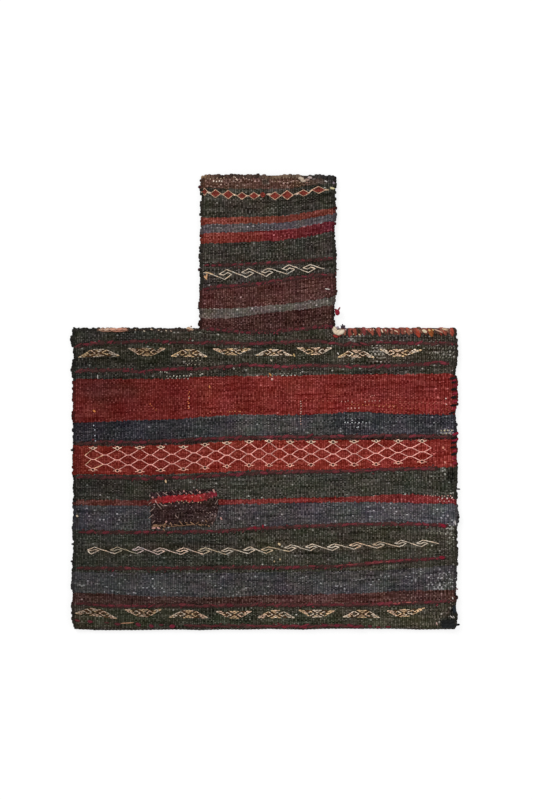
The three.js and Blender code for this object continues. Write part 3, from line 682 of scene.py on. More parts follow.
# Wrapped lines: photo row by column
BODY_LINES = [
    {74: 346.5, 84: 344.5, 95: 343.3, 105: 341.6, 118: 342.5, 140: 341, 150: 340.5, 162: 341.5, 190: 342.5,
     215: 342.5, 232: 342.5, 242: 344, 262: 342.8, 282: 342.5, 292: 341.5, 320: 341, 332: 343, 342: 345,
     352: 343.5, 365: 344, 376: 342, 386: 341.5, 396: 343, 430: 343, 455: 343},
    {75: 371, 85: 370, 95: 370.5, 118: 370, 132: 371.5, 145: 371.5, 156: 369, 180: 369.5, 200: 369,
     212: 367.5, 232: 366, 242: 365, 262: 365.5, 285: 367, 298: 365.3, 330: 365.6, 340: 366.5, 360: 366.3,
     385: 366, 405: 365, 422: 365, 430: 362.6, 447: 363},
    {76: 444, 90: 443, 103: 441.5, 118: 442, 140: 442.8, 160: 441, 172: 441, 186: 439.5, 200: 439, 220: 438.2,
     240: 437.6, 260: 437, 300: 436.8, 330: 436.6, 350: 436.8, 375: 436, 400: 435.8, 420: 435.6, 448: 437},
    {76: 476.5, 98: 477, 120: 477.5, 142: 478.2, 160: 477.7, 182: 476.8, 200: 476, 240: 474, 260: 472.6,
     300: 471.5, 340: 471, 352: 471, 375: 469.5, 400: 469, 420: 468.6, 436: 468},
    {78: 532, 110: 532, 150: 532, 220: 531, 250: 528, 275: 527.5, 300: 526.2, 330: 524.8, 345: 524,
     366: 523.8, 386: 523.4, 410: 524, 430: 524.6, 446: 526},
    {76: 568, 110: 568, 160: 568, 220: 567, 300: 567, 330: 566, 345: 565, 362: 564, 376: 562, 390: 560.6,
     405: 560, 425: 558.6, 444: 558},
    {76: 603.5, 85: 603.5, 95: 604.5, 108: 606, 120: 606, 150: 605.5, 170: 605, 200: 606, 230: 605.5,
     260: 604.5, 300: 605, 335: 604.5, 370: 604, 390: 603.5, 410: 602.8, 425: 602, 448: 600.8},
    {76: 621.5, 92: 622, 104: 622.5, 120: 623.8, 140: 624, 152: 625, 172: 625.5, 200: 625.8, 250: 626,
     300: 626.4, 340: 625.6, 356: 626.4, 372: 627, 400: 626.6, 420: 626.4},
]
NECK_LINES = [
    {203: 265, 240: 264.5, 270: 263, 290: 262, 305: 260, 334: 258},
    {203: 288.5, 220: 286.5, 240: 285, 260: 283, 280: 280, 300: 276.8, 320: 275, 334: 274},
    {203: 328.5, 215: 329.6, 225: 330.7, 240: 331.6, 260: 332, 275: 331.2, 290: 330, 310: 327.5, 330: 325.5},
]
# Length, width and lap of a line's wraps; a negative lap leaves gaps
BODY_LINE_WRAPS = [
    (8, 2.9, 0.02), (8, 3, 0.04), (8, 2.9, 0.04), (8, 3, 0.04), (8, 3, 0), (8, 2.7, 0), (8, 3, 0.04),
    (9, 2, 0.1),
]
NECK_LINE_WRAPS = [(7, 2.2, -0.12), (6.5, 2.8, 0), (6, 3, -0.04)]
LINE_DYES = [(82, 42, 43), (73, 42, 41), (91, 41, 45), (64, 42, 39), (98, 41, 48)]
LINE_FADE = {75: 1, 190: 1, 260: 1.13, 450: 1.13}
# A wrap's height in pixels, and the middle and spread of its slant
LINE_HEIGHT, LINE_SLANT = 0.7, (0.2, 0.7)
# Shift of the stray wraps, then the dark strand painted as the line's shadow on the cloth: its width, height,
# shift, share of the pitch and dye
STRAY_SHIFT = (3.1, 0.2)
SHADOW_STRAND, SHADOW_STRAND_HEIGHT, SHADOW_STRAND_SHIFT, SHADOW_STRAND_PITCH, SHADOW_STRAND_DYE = 4.4, 0.45, (2.5, 0.3), 0.7, (56, 38, 35)
# The body's last line: columns that its wraps fill, and what is left beside them, as loose threads
LAST_LINE_RUN = (184, 362)
LAST_LINE_BITS = [
    (74.6, 620, 80, 621.4, 2.2, 92, 42, 46), (87.4, 621.4, 92.6, 622.2, 2.8, 98, 38, 48),
    (104, 622.6, 109, 623, 1.6, 80, 46, 44), (114.4, 624, 120.4, 624.6, 2.8, 88, 40, 46),
    (135.6, 623.6, 140.6, 625.8, 3.4, 102, 38, 50), (149, 625.4, 153.4, 627, 3.2, 102, 38, 50),
    (158.6, 625, 163.6, 625.2, 2, 82, 38, 42), (169.4, 626.6, 175, 626.4, 3.8, 114, 38, 54),
    (282, 627, 286.6, 627.4, 2.8, 114, 38, 46), (302, 627.4, 307.4, 627.6, 2.8, 104, 38, 46),
    (322, 625.6, 328, 625.6, 2.8, 100, 38, 50), (334, 625.8, 340, 625.8, 3, 106, 38, 52),
    (347, 625, 354, 626.6, 3, 106, 38, 48), (355, 627, 360, 627, 2.6, 100, 38, 48),
    (368, 626.4, 372, 626.6, 2.6, 96, 42, 50), (376, 627.4, 381, 627.4, 2, 96, 40, 48),
    (386, 627.2, 391, 627, 1.8, 104, 40, 50),
]


def line_strand(points, pitch, width, rng, lap, wander, lift):
    """One layer of a line: slanted wraps end to end, each a little off in place, breadth and dye."""
    start, end = strokes(points, pitch, lap)
    count = len(start)
    slant = np.stack([np.zeros(count), rng.normal(*LINE_SLANT, count)], -1)
    drift = np.stack([np.zeros(count), rng.normal(0, wander, count)], -1)
    wide = breadths(width, count, rng, least=0.55, most=1.2)
    tall = breadths(LINE_HEIGHT, count, rng, least=0.6, most=1.2)
    made = laid(start + drift + slant, end + drift - slant, wide, tall, lift=(lift, lift))
    look = np.array(LINE_DYES, float)[rng.integers(0, len(LINE_DYES), count)]
    fade = read(LINE_FADE, start[:, 0])[:, None]
    return made, dye(look * fade) * shades(count, rng, spread=0.15, least=0.6, most=1.4)


def between(chart, first, last):
    """The part of a charted line between two columns."""
    inner = {column: row for column, row in chart.items() if first < column < last}
    return {first: read(chart, first), **inner, last: read(chart, last)}


def wrapped_line(name, node, chart, wraps, seed, torn, wool):
    """A wrapped weft line: dull red wraps, and stray ones half as big, over a thicker dark strand that is a
    painted shadow.
    """
    rng = np.random.default_rng(seed)
    pitch, width, lap = wraps
    covered = np.array(list((between(chart, *LAST_LINE_RUN) if torn else chart).items()), float)
    wound = line_strand(covered, pitch, width, rng, lap, wander=0.4, lift=0.0002)
    stray = line_strand(covered + STRAY_SHIFT, pitch / 2, width / 2, rng, lap=-0.2, wander=1.2, lift=0.0003)
    # The dark strand under the wraps is a painted shadow of the line on the cloth
    start, end = strokes(covered + SHADOW_STRAND_SHIFT, pitch * SHADOW_STRAND_PITCH, lap=0.1)
    count = len(start)
    below = laid(start, end, breadths(SHADOW_STRAND, count, rng, least=0.7, most=1.15), SHADOW_STRAND_HEIGHT * PIXEL)
    shade = read(LINE_FADE, start[:, 0])[:, None] ** 2
    bundles = [wound, stray, (below, tint(SHADOW_STRAND_DYE, count, rng, spread=0.2) * shade)]
    if torn:
        bundles.append(thread_bundle(LAST_LINE_BITS))
    yarn_piece(name, bundles, wool, "wrapped_crimson_wool", node)


# The lozenge net: columns and rows of its eyes, its ends, and how far from an eye it begins
EYE_COLUMNS = [93, 117.5, 140, 161, 183.5, 205, 227, 249, 269, 290, 311, 333, 354, 376, 398, 422]
TOP_EYES = [448, 448, 447.5, 447, 447, 444.5, 443, 441.5, 441, 442, 442, 442, 441.5, 441, 441, 441]
FOOT_EYES = [469.5, 470.5, 471, 470, 469, 467.5, 466, 465, 465, 465, 464.5, 464.5, 464.5, 464, 462.5, 461.5]
NET_LEFT_ENDS = [(83, 455.5), (83.5, 465)]
NET_RIGHT_ENDS = [(433, 448), (434, 455.5)]
UNDER_EYE, OVER_EYE = 2.3, 1.0
# Width, height and pitch of its floats, flat run at a crossing, half length of the float on it, dyes
NET_WIDTH, NET_HEIGHT, NET_PITCH, CROSSING, CROSSING_HALF = 0.9, 0.75, 3.1, 1.7, 2.0
NET_PINK, NET_CREAM = (252, 182, 170), (236, 184, 152)
NET_FADE = {75: 0.93, 220: 0.97, 457: 1}
# Eyes: half width, half height, wing past the corner, corner and wing tip off the middle, pitch, dyes
EYE_WIDE, EYE_TALL, EYE_WING = (2.3, 2.9), (1.7, 2.1), (1.2, 2.4)
EYE_CORNER, WING_TIP, EYE_PITCH = 0.2, 0.6, 2.4
TOP_EYE_DYE, FOOT_EYE_DYE = (244, 208, 182), (244, 182, 160)
# Dark hearts of the eyes: half length, width, height and dye
HEART_HALF, HEART_WIDTH, HEART_HEIGHT, HEART_DYE = 0.9, 1.6, 0.6, (44, 30, 26)


def net_points():
    """Crossings of the net: rows 0, 2 and 4 at the eye columns, rows 1 and 3 half way between them."""
    column = np.array(EYE_COLUMNS, float)
    top, foot = np.array(TOP_EYES) + UNDER_EYE, np.array(FOOT_EYES) - OVER_EYE
    level = [np.stack([column, top + (foot - top) * share], -1) for share in (0, 0.5, 1)]
    middle, mid_top, mid_foot = ((line[:-1] + line[1:]) / 2 for line in (column, top, foot))
    half = [np.stack([middle, mid_top + (mid_foot - mid_top) * share], -1) for share in (0.25, 0.75)]
    ends = zip(NET_LEFT_ENDS, half, NET_RIGHT_ENDS)
    return level, [np.concatenate([[left], row, [right]]) for left, row, right in ends]


def lozenge_net(wool, seed):
    """Two sets of slanting lines that cross, with a small dark-hearted eye at each end of them."""
    rng = np.random.default_rng(seed)
    level, half = net_points()
    floats = []

    def draw(points, colour, pitch=NET_PITCH, jitter=0.12):
        start, end = (side + rng.normal(0, jitter, side.shape) for side in strokes(points, pitch))
        faded = np.multiply(colour, read(NET_FADE, points[0][0]))
        floats.append((start, end, tint(faded, len(start), rng, spread=0.18)))

    for i in range(len(EYE_COLUMNS)):
        pale = NET_CREAM if i == 0 else NET_PINK
        for row in range(2):
            upper, left, right, lower = level[row][i], half[row][i], half[row][i + 1], level[row + 1][i]
            for one, two, colour in (
                (upper, left, pale), (upper, right, NET_PINK), (left, lower, NET_PINK), (right, lower, pale),
            ):
                flat = np.array([CROSSING * np.sign(two[0] - one[0]), 0])
                draw([one + flat, two - flat], colour)
    over = CROSSING_HALF, 0
    for crossing in np.concatenate([half[0][1:-1], level[1], half[1][1:-1]]):
        draw([crossing - over, crossing + over], NET_PINK, 2 * CROSSING_HALF)
    for column, top, foot in zip(EYE_COLUMNS, TOP_EYES, FOOT_EYES):
        for y, up, colour in ((top, -1, TOP_EYE_DYE), (foot, 1, FOOT_EYE_DYE)):
            wide, tall = rng.uniform(*EYE_WIDE), rng.uniform(*EYE_TALL)
            wing = wide + rng.uniform(*EYE_WING)
            heart = np.array([column, y])
            left, right = heart + (-wide, EYE_CORNER), heart + (wide, EYE_CORNER)
            draw([left, heart + (0, tall * up), right], colour, EYE_PITCH)
            draw([left, heart + (0, -tall * up), right], colour, EYE_PITCH)
            draw([left, heart + (-wing, WING_TIP * up)], colour, EYE_PITCH)
            draw([right, heart + (wing, WING_TIP * up)], colour, EYE_PITCH)
    starts, ends, colours = gathered(floats)
    net = laid(starts, ends, breadths(NET_WIDTH, len(starts), rng, least=0.8, most=1.15), NET_HEIGHT * PIXEL)
    hearts = np.array([(x, y) for x, *eyes in zip(EYE_COLUMNS, TOP_EYES, FOOT_EYES) for y in eyes])
    reach = HEART_HALF, 0
    dark = laid(hearts - reach, hearts + reach, HEART_WIDTH * PIXEL, HEART_HEIGHT * PIXEL)
    bundles = [(net, colours), (dark, tint(HEART_DYE, len(hearts), rng))]
    yarn_piece("lozenge_brocade", bundles, wool, "salmon_brocade_wool", "lozenge_net")


# Scroll chains: middle, half width and half height of each scroll, then start and tail of the line
BODY_SCROLL_COLUMNS = [93, 116, 138, 159, 182, 204, 227, 249, 267, 290, 311, 333, 355, 378, 400, 422]
BODY_SCROLL_ROWS = [
    550.5, 550.3, 550, 551, 551, 550.8, 551, 550, 550, 548, 547, 547, 545.5, 544.7, 543.3, 543.3,
]
BODY_SCROLL_HALVES = 5.9, 3.3
BODY_SCROLLS = [(x, y, *BODY_SCROLL_HALVES) for x, y in zip(BODY_SCROLL_COLUMNS, BODY_SCROLL_ROWS)]
NECK_SCROLLS = [
    (225.5, 274.5, 6.4, 5), (247.5, 273.2, 6.2, 4.4), (267, 272.5, 6, 4.2), (288, 269.6, 6.3, 4.6),
    (309, 268.5, 6.3, 4),
]
BODY_SCROLL_ENDS = [(88.2, 550.8), (89.8, 553)], [(439, 543.6)]
NECK_SCROLL_ENDS = [(203.5, 272.3), (213, 274.6)], [(324.5, 269.2)]
# One scroll's turns in halves of its size; width, height and pitch of its floats
SCROLL_PATH = [(-0.15, 1), (1, 0), (0.35, -0.35), (-0.3, 0.12), (-0.95, -0.1), (0.2, -1)]
SCROLL_WIDTH, SCROLL_HEIGHT, SCROLL_PITCH = 0.92, 0.8, 2.9
# Cream of the scrolls, how it fades along the body, and the body's scrolls with a dye of their own
PALE_CREAM = (213, 196, 176)
SCROLL_FADE = {75: 0.86, 200: 0.9, 330: 1, 457: 1.03}
ODD_SCROLLS = {
    0: (210, 188, 168), 1: (186, 172, 148), 2: (204, 182, 176), 3: (210, 188, 176), 4: (212, 186, 168),
    5: (194, 176, 150), 8: (196, 176, 148), 12: (206, 180, 156), 13: (206, 182, 156),
}


def scroll_chain(name, node, scrolls, ends, odd, seed, wool, warm=0.05, jitter=0.12):
    """One stroke turned S-wise through each scroll: foot, right corner, heart, left corner, top."""
    rng = np.random.default_rng(seed)
    start, tail = ends
    line, unit = list(start), [-1] * len(start)
    for number, (x, y, half_w, half_h) in enumerate(scrolls):
        line += [(x + half_w * u, y + half_h * v) for u, v in SCROLL_PATH]
        unit += [number] * len(SCROLL_PATH)
    floats = []
    for one, two, number in zip(line, line[1:] + tail, unit):
        first, last = strokes([one, two], SCROLL_PITCH, lap=0.15)
        warmth = rng.normal(0, warm, (len(first), 1)) * (1, 0, -1)
        fade = read(SCROLL_FADE, first[:, 0])[:, None] if odd else 1.0
        cream = tint(odd.get(number, PALE_CREAM), len(first), rng, spread=0.2)
        floats.append((first, last, cream * (1 + warmth) * fade))
    first, last, colours = gathered(floats)
    off = rng.normal(0, jitter, first.shape)
    width = breadths(SCROLL_WIDTH, len(first), rng, least=0.85, most=1.15)
    run = laid(first + off, last + off, width, SCROLL_HEIGHT * PIXEL)
    yarn_piece(name, [(run, colours)], wool, "cream_brocade_wool", node)


# Triangular motifs: strokes right of the heart, wings up; all but the bars are mirrored to the left
MOTIF_BARS = [(5, -4.1), (3, -2.8), (1.1, -1.6), (1.1, 0.9), (3, 2.2), (5, 3.5)]
MOTIF_STROKES = [
    [(18.2, -4.2), (12, -4.2)], [(16, -3), (10.4, -2.6)], [(13.2, -1.7), (8.8, -0.6)],
    [(18.2, -4.2), (7.4, 2.5)], [(7.4, 2.5), (2.9, -0.3)], [(2.9, -0.3), (7.2, -2.9)],
    [(7.2, -2.9), (8.4, -1.6)],
]
# Part of each stroke of the right wing; the bars are part 0, and the left wing's parts come after
WING_PARTS = [1, 1, 1, 1, 2, 2, 2]
# Width, height and pitch of the floats
MOTIF_WIDTH, MOTIF_HEIGHT, MOTIF_PITCH = 0.88, 0.85, 3.0
UPPER_CREAMS = [(234, 214, 192), (228, 194, 150), (230, 196, 168)]
LOWER_CREAMS = [(226, 206, 184), (218, 184, 144), (226, 190, 164)]
MOTIF_FADE = {75: 0.8, 150: 0.82, 190: 0.92, 335: 1, 400: 1.07}
# Brown floats under a motif: levels, half width by level, dye, width and height
UNDER_LEVELS, UNDER_REACH = np.arange(-3.9, 3.9, 1.15), {-4.2: 16.5, 2.6: 8.2, 3.9: 4.4}
UNDER_DYE, UNDER_WIDTH, UNDER_HEIGHT = (72, 49, 30), 1.25, 0.35
# Left end, heart, right end, middle row, drop from heart to right end, height, whether wings point up
UPPER_MOTIFS = [
    (78.5, 98.5, 119, 352.5, -0.8, 1, False), (128, 147, 165, 352.2, 0, 1, True),
    (171, 189.5, 207, 352.7, 0.3, 1, False), (213, 232, 250.5, 352, 0, 0.85, True),
    (256, 274, 292.5, 352.3, 0.3, 0.85, False), (297, 316, 332, 351.5, 0, 0.95, True),
    (338, 356, 374.5, 353.5, 0, 1, False), (380, 397.5, 422, 353, 0.3, 0.95, True),
]
LOWER_MOTIFS = [
    (75, 95, 117, 612.5, 2.6, 0.95, False), (124.5, 143.5, 161, 613.3, 0, 1, True),
    (169, 188.5, 208, 613.8, 0.4, 1, False), (216, 234.5, 251.5, 615, 0, 0.95, True),
    (258, 275.5, 294.5, 614, 0, 1, False), (299, 317, 335, 614, 0, 0.95, True),
    (343, 362, 380, 613.7, 0.3, 1, False), (387, 404, 425, 613.3, -1.4, 0.95, True),
]


def on_motif(motif, points, half=18.2, tall_share=0.9):
    """Photo places of points given across and down from a motif's heart."""
    left, heart, right, middle, drop, tall, wings_up = motif
    share = points[:, 0] / half
    x = heart + share * np.where(share > 0, right - heart, heart - left)
    y = middle + tall_share * points[:, 1] * tall * (1 if wings_up else -1) + drop * share
    return np.stack([x, y], -1)


def motif_ground(motif, rng, pitch=4.4, kept_share=0.72):
    """Level brown floats under a motif, as wide as its wings at each level, with some left out by chance."""
    floats = []
    for level, wide in zip(UNDER_LEVELS, read(UNDER_REACH, UNDER_LEVELS)):
        start, end = strokes([(-wide, level), (wide, level)], pitch, lap=0.05)
        kept = rng.random(len(start)) < kept_share
        floats.append((start[kept], end[kept]))
    start, end = (on_motif(motif, side) for side in gathered(floats))
    width = breadths(UNDER_WIDTH, len(start), rng, least=0.8, most=1.2)
    return laid(start, end, width, UNDER_HEIGHT * PIXEL), tint(UNDER_DYE, len(start), rng, spread=0.22)


def triangle_motif(name, node, motif, colours, seed, wool, jitter=0.18, own_share=0.65):
    """Floats along the strokes of a barred heart and two hooked wings, each part mostly in its own dye."""
    rng = np.random.default_rng(seed)
    bars = [[(-reach, level), (reach, level)] for reach, level in MOTIF_BARS]
    mirrored = [[(-x, y) for x, y in stroke] for stroke in MOTIF_STROKES]
    parts = [0] * len(bars) + WING_PARTS + [number + max(WING_PARTS) for number in WING_PARTS]
    floats = []
    for line, number in zip(bars + MOTIF_STROKES + mirrored, parts):
        first, last = strokes(on_motif(motif, np.array(line)), MOTIF_PITCH, lap=0.02)
        floats.append((first, last, np.full(len(first), number)))
    first, last, part = gathered(floats)
    count = len(first)
    off = rng.normal(0, jitter, (count, 2))
    width = breadths(MOTIF_WIDTH, count, rng, least=0.75, most=1.2)
    made = laid(first + off, last + off, width, MOTIF_HEIGHT * PIXEL)
    own = rng.integers(0, len(colours), max(parts) + 1)[part]
    pick = np.where(rng.random(count) < own_share, own, rng.integers(0, len(colours), count))
    shade = shades(count, rng, spread=0.2, least=0.5, most=1.5)
    look = np.asarray(colours, float)[pick] * read(MOTIF_FADE, motif[1])
    bundles = [(made, dye(look) * shade), motif_ground(motif, rng)]
    yarn_piece(name, bundles, wool, "cream_brocade_wool", node)


# The neck's diamonds: middle, half width, half height, and whether it is outlined
DIAMONDS = [
    (204.5, 191.6, 3.2, 3.7, True), (215.5, 193.6, 5.3, 4.1, True), (228.3, 194.6, 5.6, 4.3, True),
    (242, 196, 4.9, 3.5, True), (254, 196, 5.2, 3.5, True), (262.8, 195, 3.3, 3.2, False),
    (275, 196, 5.9, 3.9, True), (287.2, 195.2, 6, 4.6, True), (303.5, 193.1, 5.8, 3.2, True),
    (318.6, 189.8, 7, 3.5, True),
]
# Dye, pitch and width of their floats, outlines, links and last link; then height and spread of widths
RED_FLOAT, PALE_EDGE = ((128, 54, 44), 2.6, 1.4), ((204, 166, 140), 2.2, 0.85)
PALE_LINK, LAST_LINK = ((216, 186, 158), 1.9, 1.3), ((196, 168, 140), 2.2, 1.3)
LAST_LINK_LINE = [(325, 189.6), (329, 189.8)]
DIAMOND_HEIGHT, DIAMOND_WIDTHS = 0.8, (0.75, 1.15)
# Rows of floats: first and last from the corners, step, gap to an outline, least half; lap of the links
FIRST_ROW, LAST_ROW, ROW_STEP, EDGE_GAP, LEAST_ROW, LINK_LAP = 1.2, 0.9, 1.25, 0.6, 0.5, 0.5


def diamond_chain(wool, seed):
    """Red lozenges of horizontal floats in pale outlines, tied to each other by short pale links."""
    rng = np.random.default_rng(seed)
    floats = []

    def draw(points, kind):
        colour, pitch, width = kind
        start, end = strokes(points, pitch)
        dyes = tint(colour, len(start), rng, spread=0.24)
        floats.append((start, end, dyes, width * rng.uniform(*DIAMOND_WIDTHS, len(start))))

    for x, y, half_w, half_h, outlined in DIAMONDS:
        for row in np.arange(-half_h + FIRST_ROW, half_h - LAST_ROW, ROW_STEP):
            reach = half_w * (1 - abs(row) / half_h) - (EDGE_GAP if outlined else 0)
            if reach > LEAST_ROW:
                draw([(x - reach, y + row), (x + reach, y + row)], RED_FLOAT)
        if outlined:
            corners = [(x - half_w, y), (x, y - half_h), (x + half_w, y), (x, y + half_h), (x - half_w, y)]
            for one, two in zip(corners, corners[1:]):
                draw([one, two], PALE_EDGE)
    for (x, y, half_w, _, outlined), (next_x, next_y, next_half, _, _) in zip(DIAMONDS, DIAMONDS[1:]):
        if outlined:
            draw([(x + half_w - LINK_LAP, y), (next_x - next_half + LINK_LAP, next_y)], PALE_LINK)
    draw(LAST_LINK_LINE, LAST_LINK)
    start, end, colours, width = gathered(floats)
    bundles = [(laid(start, end, width * PIXEL, DIAMOND_HEIGHT * PIXEL), colours)]
    yarn_piece("diamond_brocade", bundles, wool, "red_brocade_wool", "neck_diamond_chain")


# Overcast edges

# A wrap at its nine stations: shares of its leg inwards and its bulge outwards, height of its legs in half
# thicknesses, its turn round the edge, and its taper; then spreads of leg, bulge and breadth
WRAP_WAY = np.array([-1.0, -0.62, -0.12, 0.75, 1.0, 0.75, -0.12, -0.62, -1.0])
WRAP_OVER, WRAP_ROUND = np.array([-0.3, 0.55, 0.7]), np.array([0.62, 0.0, -0.62])
WRAP_TAPER = np.array([0.5, 0.95, 1, 1, 1, 1, 1, 0.95, 0.5])
LEGS, BULGES, BREADTHS = (0.75, 1.15), (0.1, 1.7), (0.85, 1.2)
# Pitch of each kind of wrap, and its leg on the cloth, way out past the edge, breadth and thickness
SIDE_PITCH, SIDE_WRAP = 0.0034, (0.0026, 0.0012, 0.003468, 0.0013)
MOUTH_PITCH, MOUTH_WRAP = 0.0036, (0.0034, 0.0012, 0.0037, 0.0013)
SHOULDER_PITCH, SHOULDER_WRAP = 0.0033, (0.0028, 0.0010, 0.0034, 0.0013)
MEND_PITCH, MEND_WRAP = 0.0038, (0.0062, 0.0007, 0.0044, 0.0018)
BLACK_WRAP, CRIMSON_WRAP = (0.0066, 0.0012, 0.0027, 0.0017), (0.0042, 0.0012, 0.0027, 0.0017)
STITCH_OUT, STITCH_THICK = 0.0010, 0.0018
# Lean along the edge of the long wraps and of the mend's
LONG_LEAN, MEND_LEAN = 0.0022, -0.0024
# The side wraps begin a little above the fold, and are this much duller than their stripes
SIDE_START, EDGE_DULL = 0.003, 0.62
# Photo rows and dyes of the long wraps on the right side
BLACK_WRAPS = [377, 381, 388, 396, 404, 411.5, 437, 441.5, 446, 453]
CRIMSON_WRAPS = [379, 384.5, 392, 400, 407.5, 433, 439, 449.5, 457, 462]
BLACK_DYE, CRIMSON_DYE = (26, 22, 22), (130, 34, 52)
# Dyes along the mouth and the left shoulder, and lumps of pale yarn on it, as loose threads
MOUTH_EDGE = {
    198: (134, 116, 88), 206: (126, 100, 78), 212: (84, 62, 52), 234: (70, 54, 46), 262: (84, 66, 58),
    272: (120, 96, 76), 300: (112, 94, 80), 308: (64, 58, 54), 336: (48, 46, 45),
}
LEFT_SHOULDER = {
    74: (44, 42, 38), 96: (46, 42, 38), 101: (120, 84, 66), 126: (130, 88, 70), 130: (56, 48, 42),
    198: (56, 46, 40),
}
SHOULDER_LUMPS = [
    (98, 330, 104, 329.2, 2.4, 176, 140, 118), (103, 329.8, 110, 329, 2.8, 196, 162, 140),
    (109, 329.2, 117, 329.4, 2.9, 204, 152, 128), (116, 329.4, 123, 329, 3, 194, 136, 114),
    (121, 329, 128, 329.8, 2.5, 178, 130, 110), (100, 331.2, 112, 331.4, 1.2, 140, 104, 86),
    (112, 331.4, 124, 331.2, 1.3, 164, 114, 94), (106, 328.2, 108, 330.6, 0.9, 84, 62, 52),
    (114, 328.2, 115, 330.4, 0.8, 100, 70, 58), (119.4, 328.4, 121, 331, 0.8, 96, 66, 56),
    (134, 329.4, 137, 330, 1.3, 186, 168, 144), (143, 330.6, 145, 331.4, 1.3, 196, 182, 158),
    (150, 329, 153, 329.6, 1.5, 196, 174, 150), (157, 329.6, 160, 330.4, 1.4, 186, 162, 138),
    (165, 330, 167, 331, 1.4, 196, 178, 154), (170, 330.4, 172, 331.4, 1.3, 180, 152, 134),
]
# The right shoulder's mend: dyes of its wraps, and stitches by column, slant, length, breadth, colour
MEND_GROUND = [(120, 72, 60), (88, 60, 50), (150, 98, 80), (66, 50, 43), (138, 74, 60)]
RED_STITCHES = [
    (348.6, 1.2, 8, 3.4, 136, 56, 52), (355.6, 0, 7.4, 3.6, 132, 66, 52), (363.6, 1, 7.4, 3.8, 124, 58, 58),
    (367.4, 1.5, 4, 2.6, 140, 72, 60), (371.6, 1.4, 6.4, 3.6, 152, 80, 64), (378.8, 1.2, 8.5, 4, 150, 70, 62),
    (387, 1, 6.4, 3.4, 148, 76, 72), (393, 3, 7, 3.8, 136, 56, 48), (401, 2, 6.5, 4, 148, 78, 66),
    (407, 2, 5, 4, 154, 76, 58), (415.5, 4, 8, 5.4, 150, 60, 44), (429.6, 2.4, 7.5, 4.8, 164, 92, 50),
    (437, 5, 6, 3, 158, 70, 56), (441.5, 4.5, 6.5, 2.8, 164, 84, 66), (446.5, 3, 5, 2.6, 176, 130, 106),
    (452.6, 0.6, 7, 5, 156, 70, 56),
]
# Pale yarn between the stitches, as loose threads
PALE_MEND = [
    (351.8, 329.4, 352.6, 334.4, 1.5, 54, 38, 34), (359, 328.8, 359.4, 333, 2.2, 56, 47, 30),
    (367, 330.4, 368.8, 334.6, 1.3, 66, 42, 36), (375.6, 331, 376, 335, 1.9, 60, 42, 36),
    (384.2, 331.6, 385, 335, 1.6, 72, 60, 50), (388.8, 328.6, 390.4, 331.8, 1.6, 82, 34, 34),
    (345.2, 329, 346.4, 330.2, 1.5, 190, 158, 160), (365.4, 328.6, 367.6, 330, 1.4, 196, 132, 118),
    (373, 328.6, 374.4, 330.2, 1.4, 214, 168, 148), (390, 328.4, 392.4, 330, 1.3, 216, 170, 156),
    (381.2, 328.8, 383, 333, 1.6, 220, 192, 166), (394.2, 330, 398.4, 332.4, 1.2, 222, 186, 156),
    (422.4, 330, 427, 332.4, 3.2, 222, 202, 170), (416.6, 327.4, 421, 327.8, 1.6, 120, 94, 76),
    (428.4, 329.6, 430.6, 331, 2, 224, 182, 118), (434, 329, 443, 332.6, 1.4, 200, 160, 138),
    (442, 328.6, 448, 330, 2.1, 204, 172, 142), (358.6, 334, 360.4, 335.2, 1.4, 206, 182, 140),
    (385, 329, 386.4, 331.4, 1.4, 206, 180, 156), (370, 329.4, 371.4, 330.4, 1.3, 210, 180, 156),
    (404.6, 331, 406, 332, 1.3, 206, 170, 140), (410.6, 330.4, 411.6, 331.6, 1.4, 216, 186, 160),
    (353, 333.6, 354, 334.6, 1.2, 196, 170, 136), (432.4, 329.2, 434, 330.4, 1.5, 216, 176, 120),
]


def even_places(edge, pitch, rng, off=0.12):
    """Evenly spaced shares along an edge, each a little off."""
    count = round(float(np.linalg.norm(np.subtract(edge[1], edge[0]))) / pitch)
    return (np.arange(count) + 0.5 + rng.normal(0, off, count)) / count


def overcast(edge, at, wrap, colours, rng, lean=0.0012, inset=0.0002, clear=0.6):
    """Yarn wound over an edge: up the front leg, round the edge in a half ellipse, back along the underside.

    A wrap's legs lie on the upper and the lower face, and it leans along the edge on its way round.
    """
    start, end, outward = (np.asarray(v, float) for v in edge[:3])
    upper, lower = edge[3:]
    leg, out, breadth, thick = wrap
    along = (end - start) / np.linalg.norm(end - start)
    count = len(at)
    foot = start + (end - start) * np.asarray(at, float)[:, None]
    foot += np.stack([edge_shift(foot[:, 0], foot[:, 1]), mouth_shift(foot[:, 0], foot[:, 1])], -1)
    reach = leg * rng.uniform(*LEGS, (count, 1))
    bulge = out * rng.uniform(*BULGES, (count, 1))
    way_out = np.where(WRAP_WAY < 0, WRAP_WAY * reach, WRAP_WAY * bulge)
    drift = lean * np.linspace(-1, 1, len(WRAP_WAY))
    flat = foot[:, None] + outward * way_out[..., None] + along * drift[..., None]
    inner = foot[:, None] + outward * np.minimum(way_out, -inset)[..., None] + along * drift[..., None]
    top, bottom = upper(inner[..., 0], inner[..., 1]), lower(inner[..., 0], inner[..., 1])
    radius = thick / 2
    z = np.empty_like(top)
    z[:, :3] = top[:, :3] + radius * WRAP_OVER
    middle, half = (top[:, 3:6] + bottom[:, 3:6]) / 2, (top[:, 3:6] - bottom[:, 3:6]) / 2 + clear * radius
    z[:, 3:6] = middle + half * WRAP_ROUND
    z[:, 6:] = bottom[:, 6:] - radius * WRAP_OVER[::-1]
    paths = np.concatenate([flat, z[..., None]], -1)
    wide = breadth * rng.uniform(*BREADTHS, (count, 1)) * WRAP_TAPER
    broad = np.tile(np.append(along, 0.0), (count, 1))
    shade = shades(count, rng, spread=0.2, least=0.5, most=1.7)
    return tubes(paths, wide, np.full((count, 1), thick) * WRAP_TAPER, broad), colours(foot) * shade


def by_column(chart):
    """A dye chart read at each wrap's photograph column."""
    return lambda foot: dye(read(chart, column_of(foot[:, 0])))


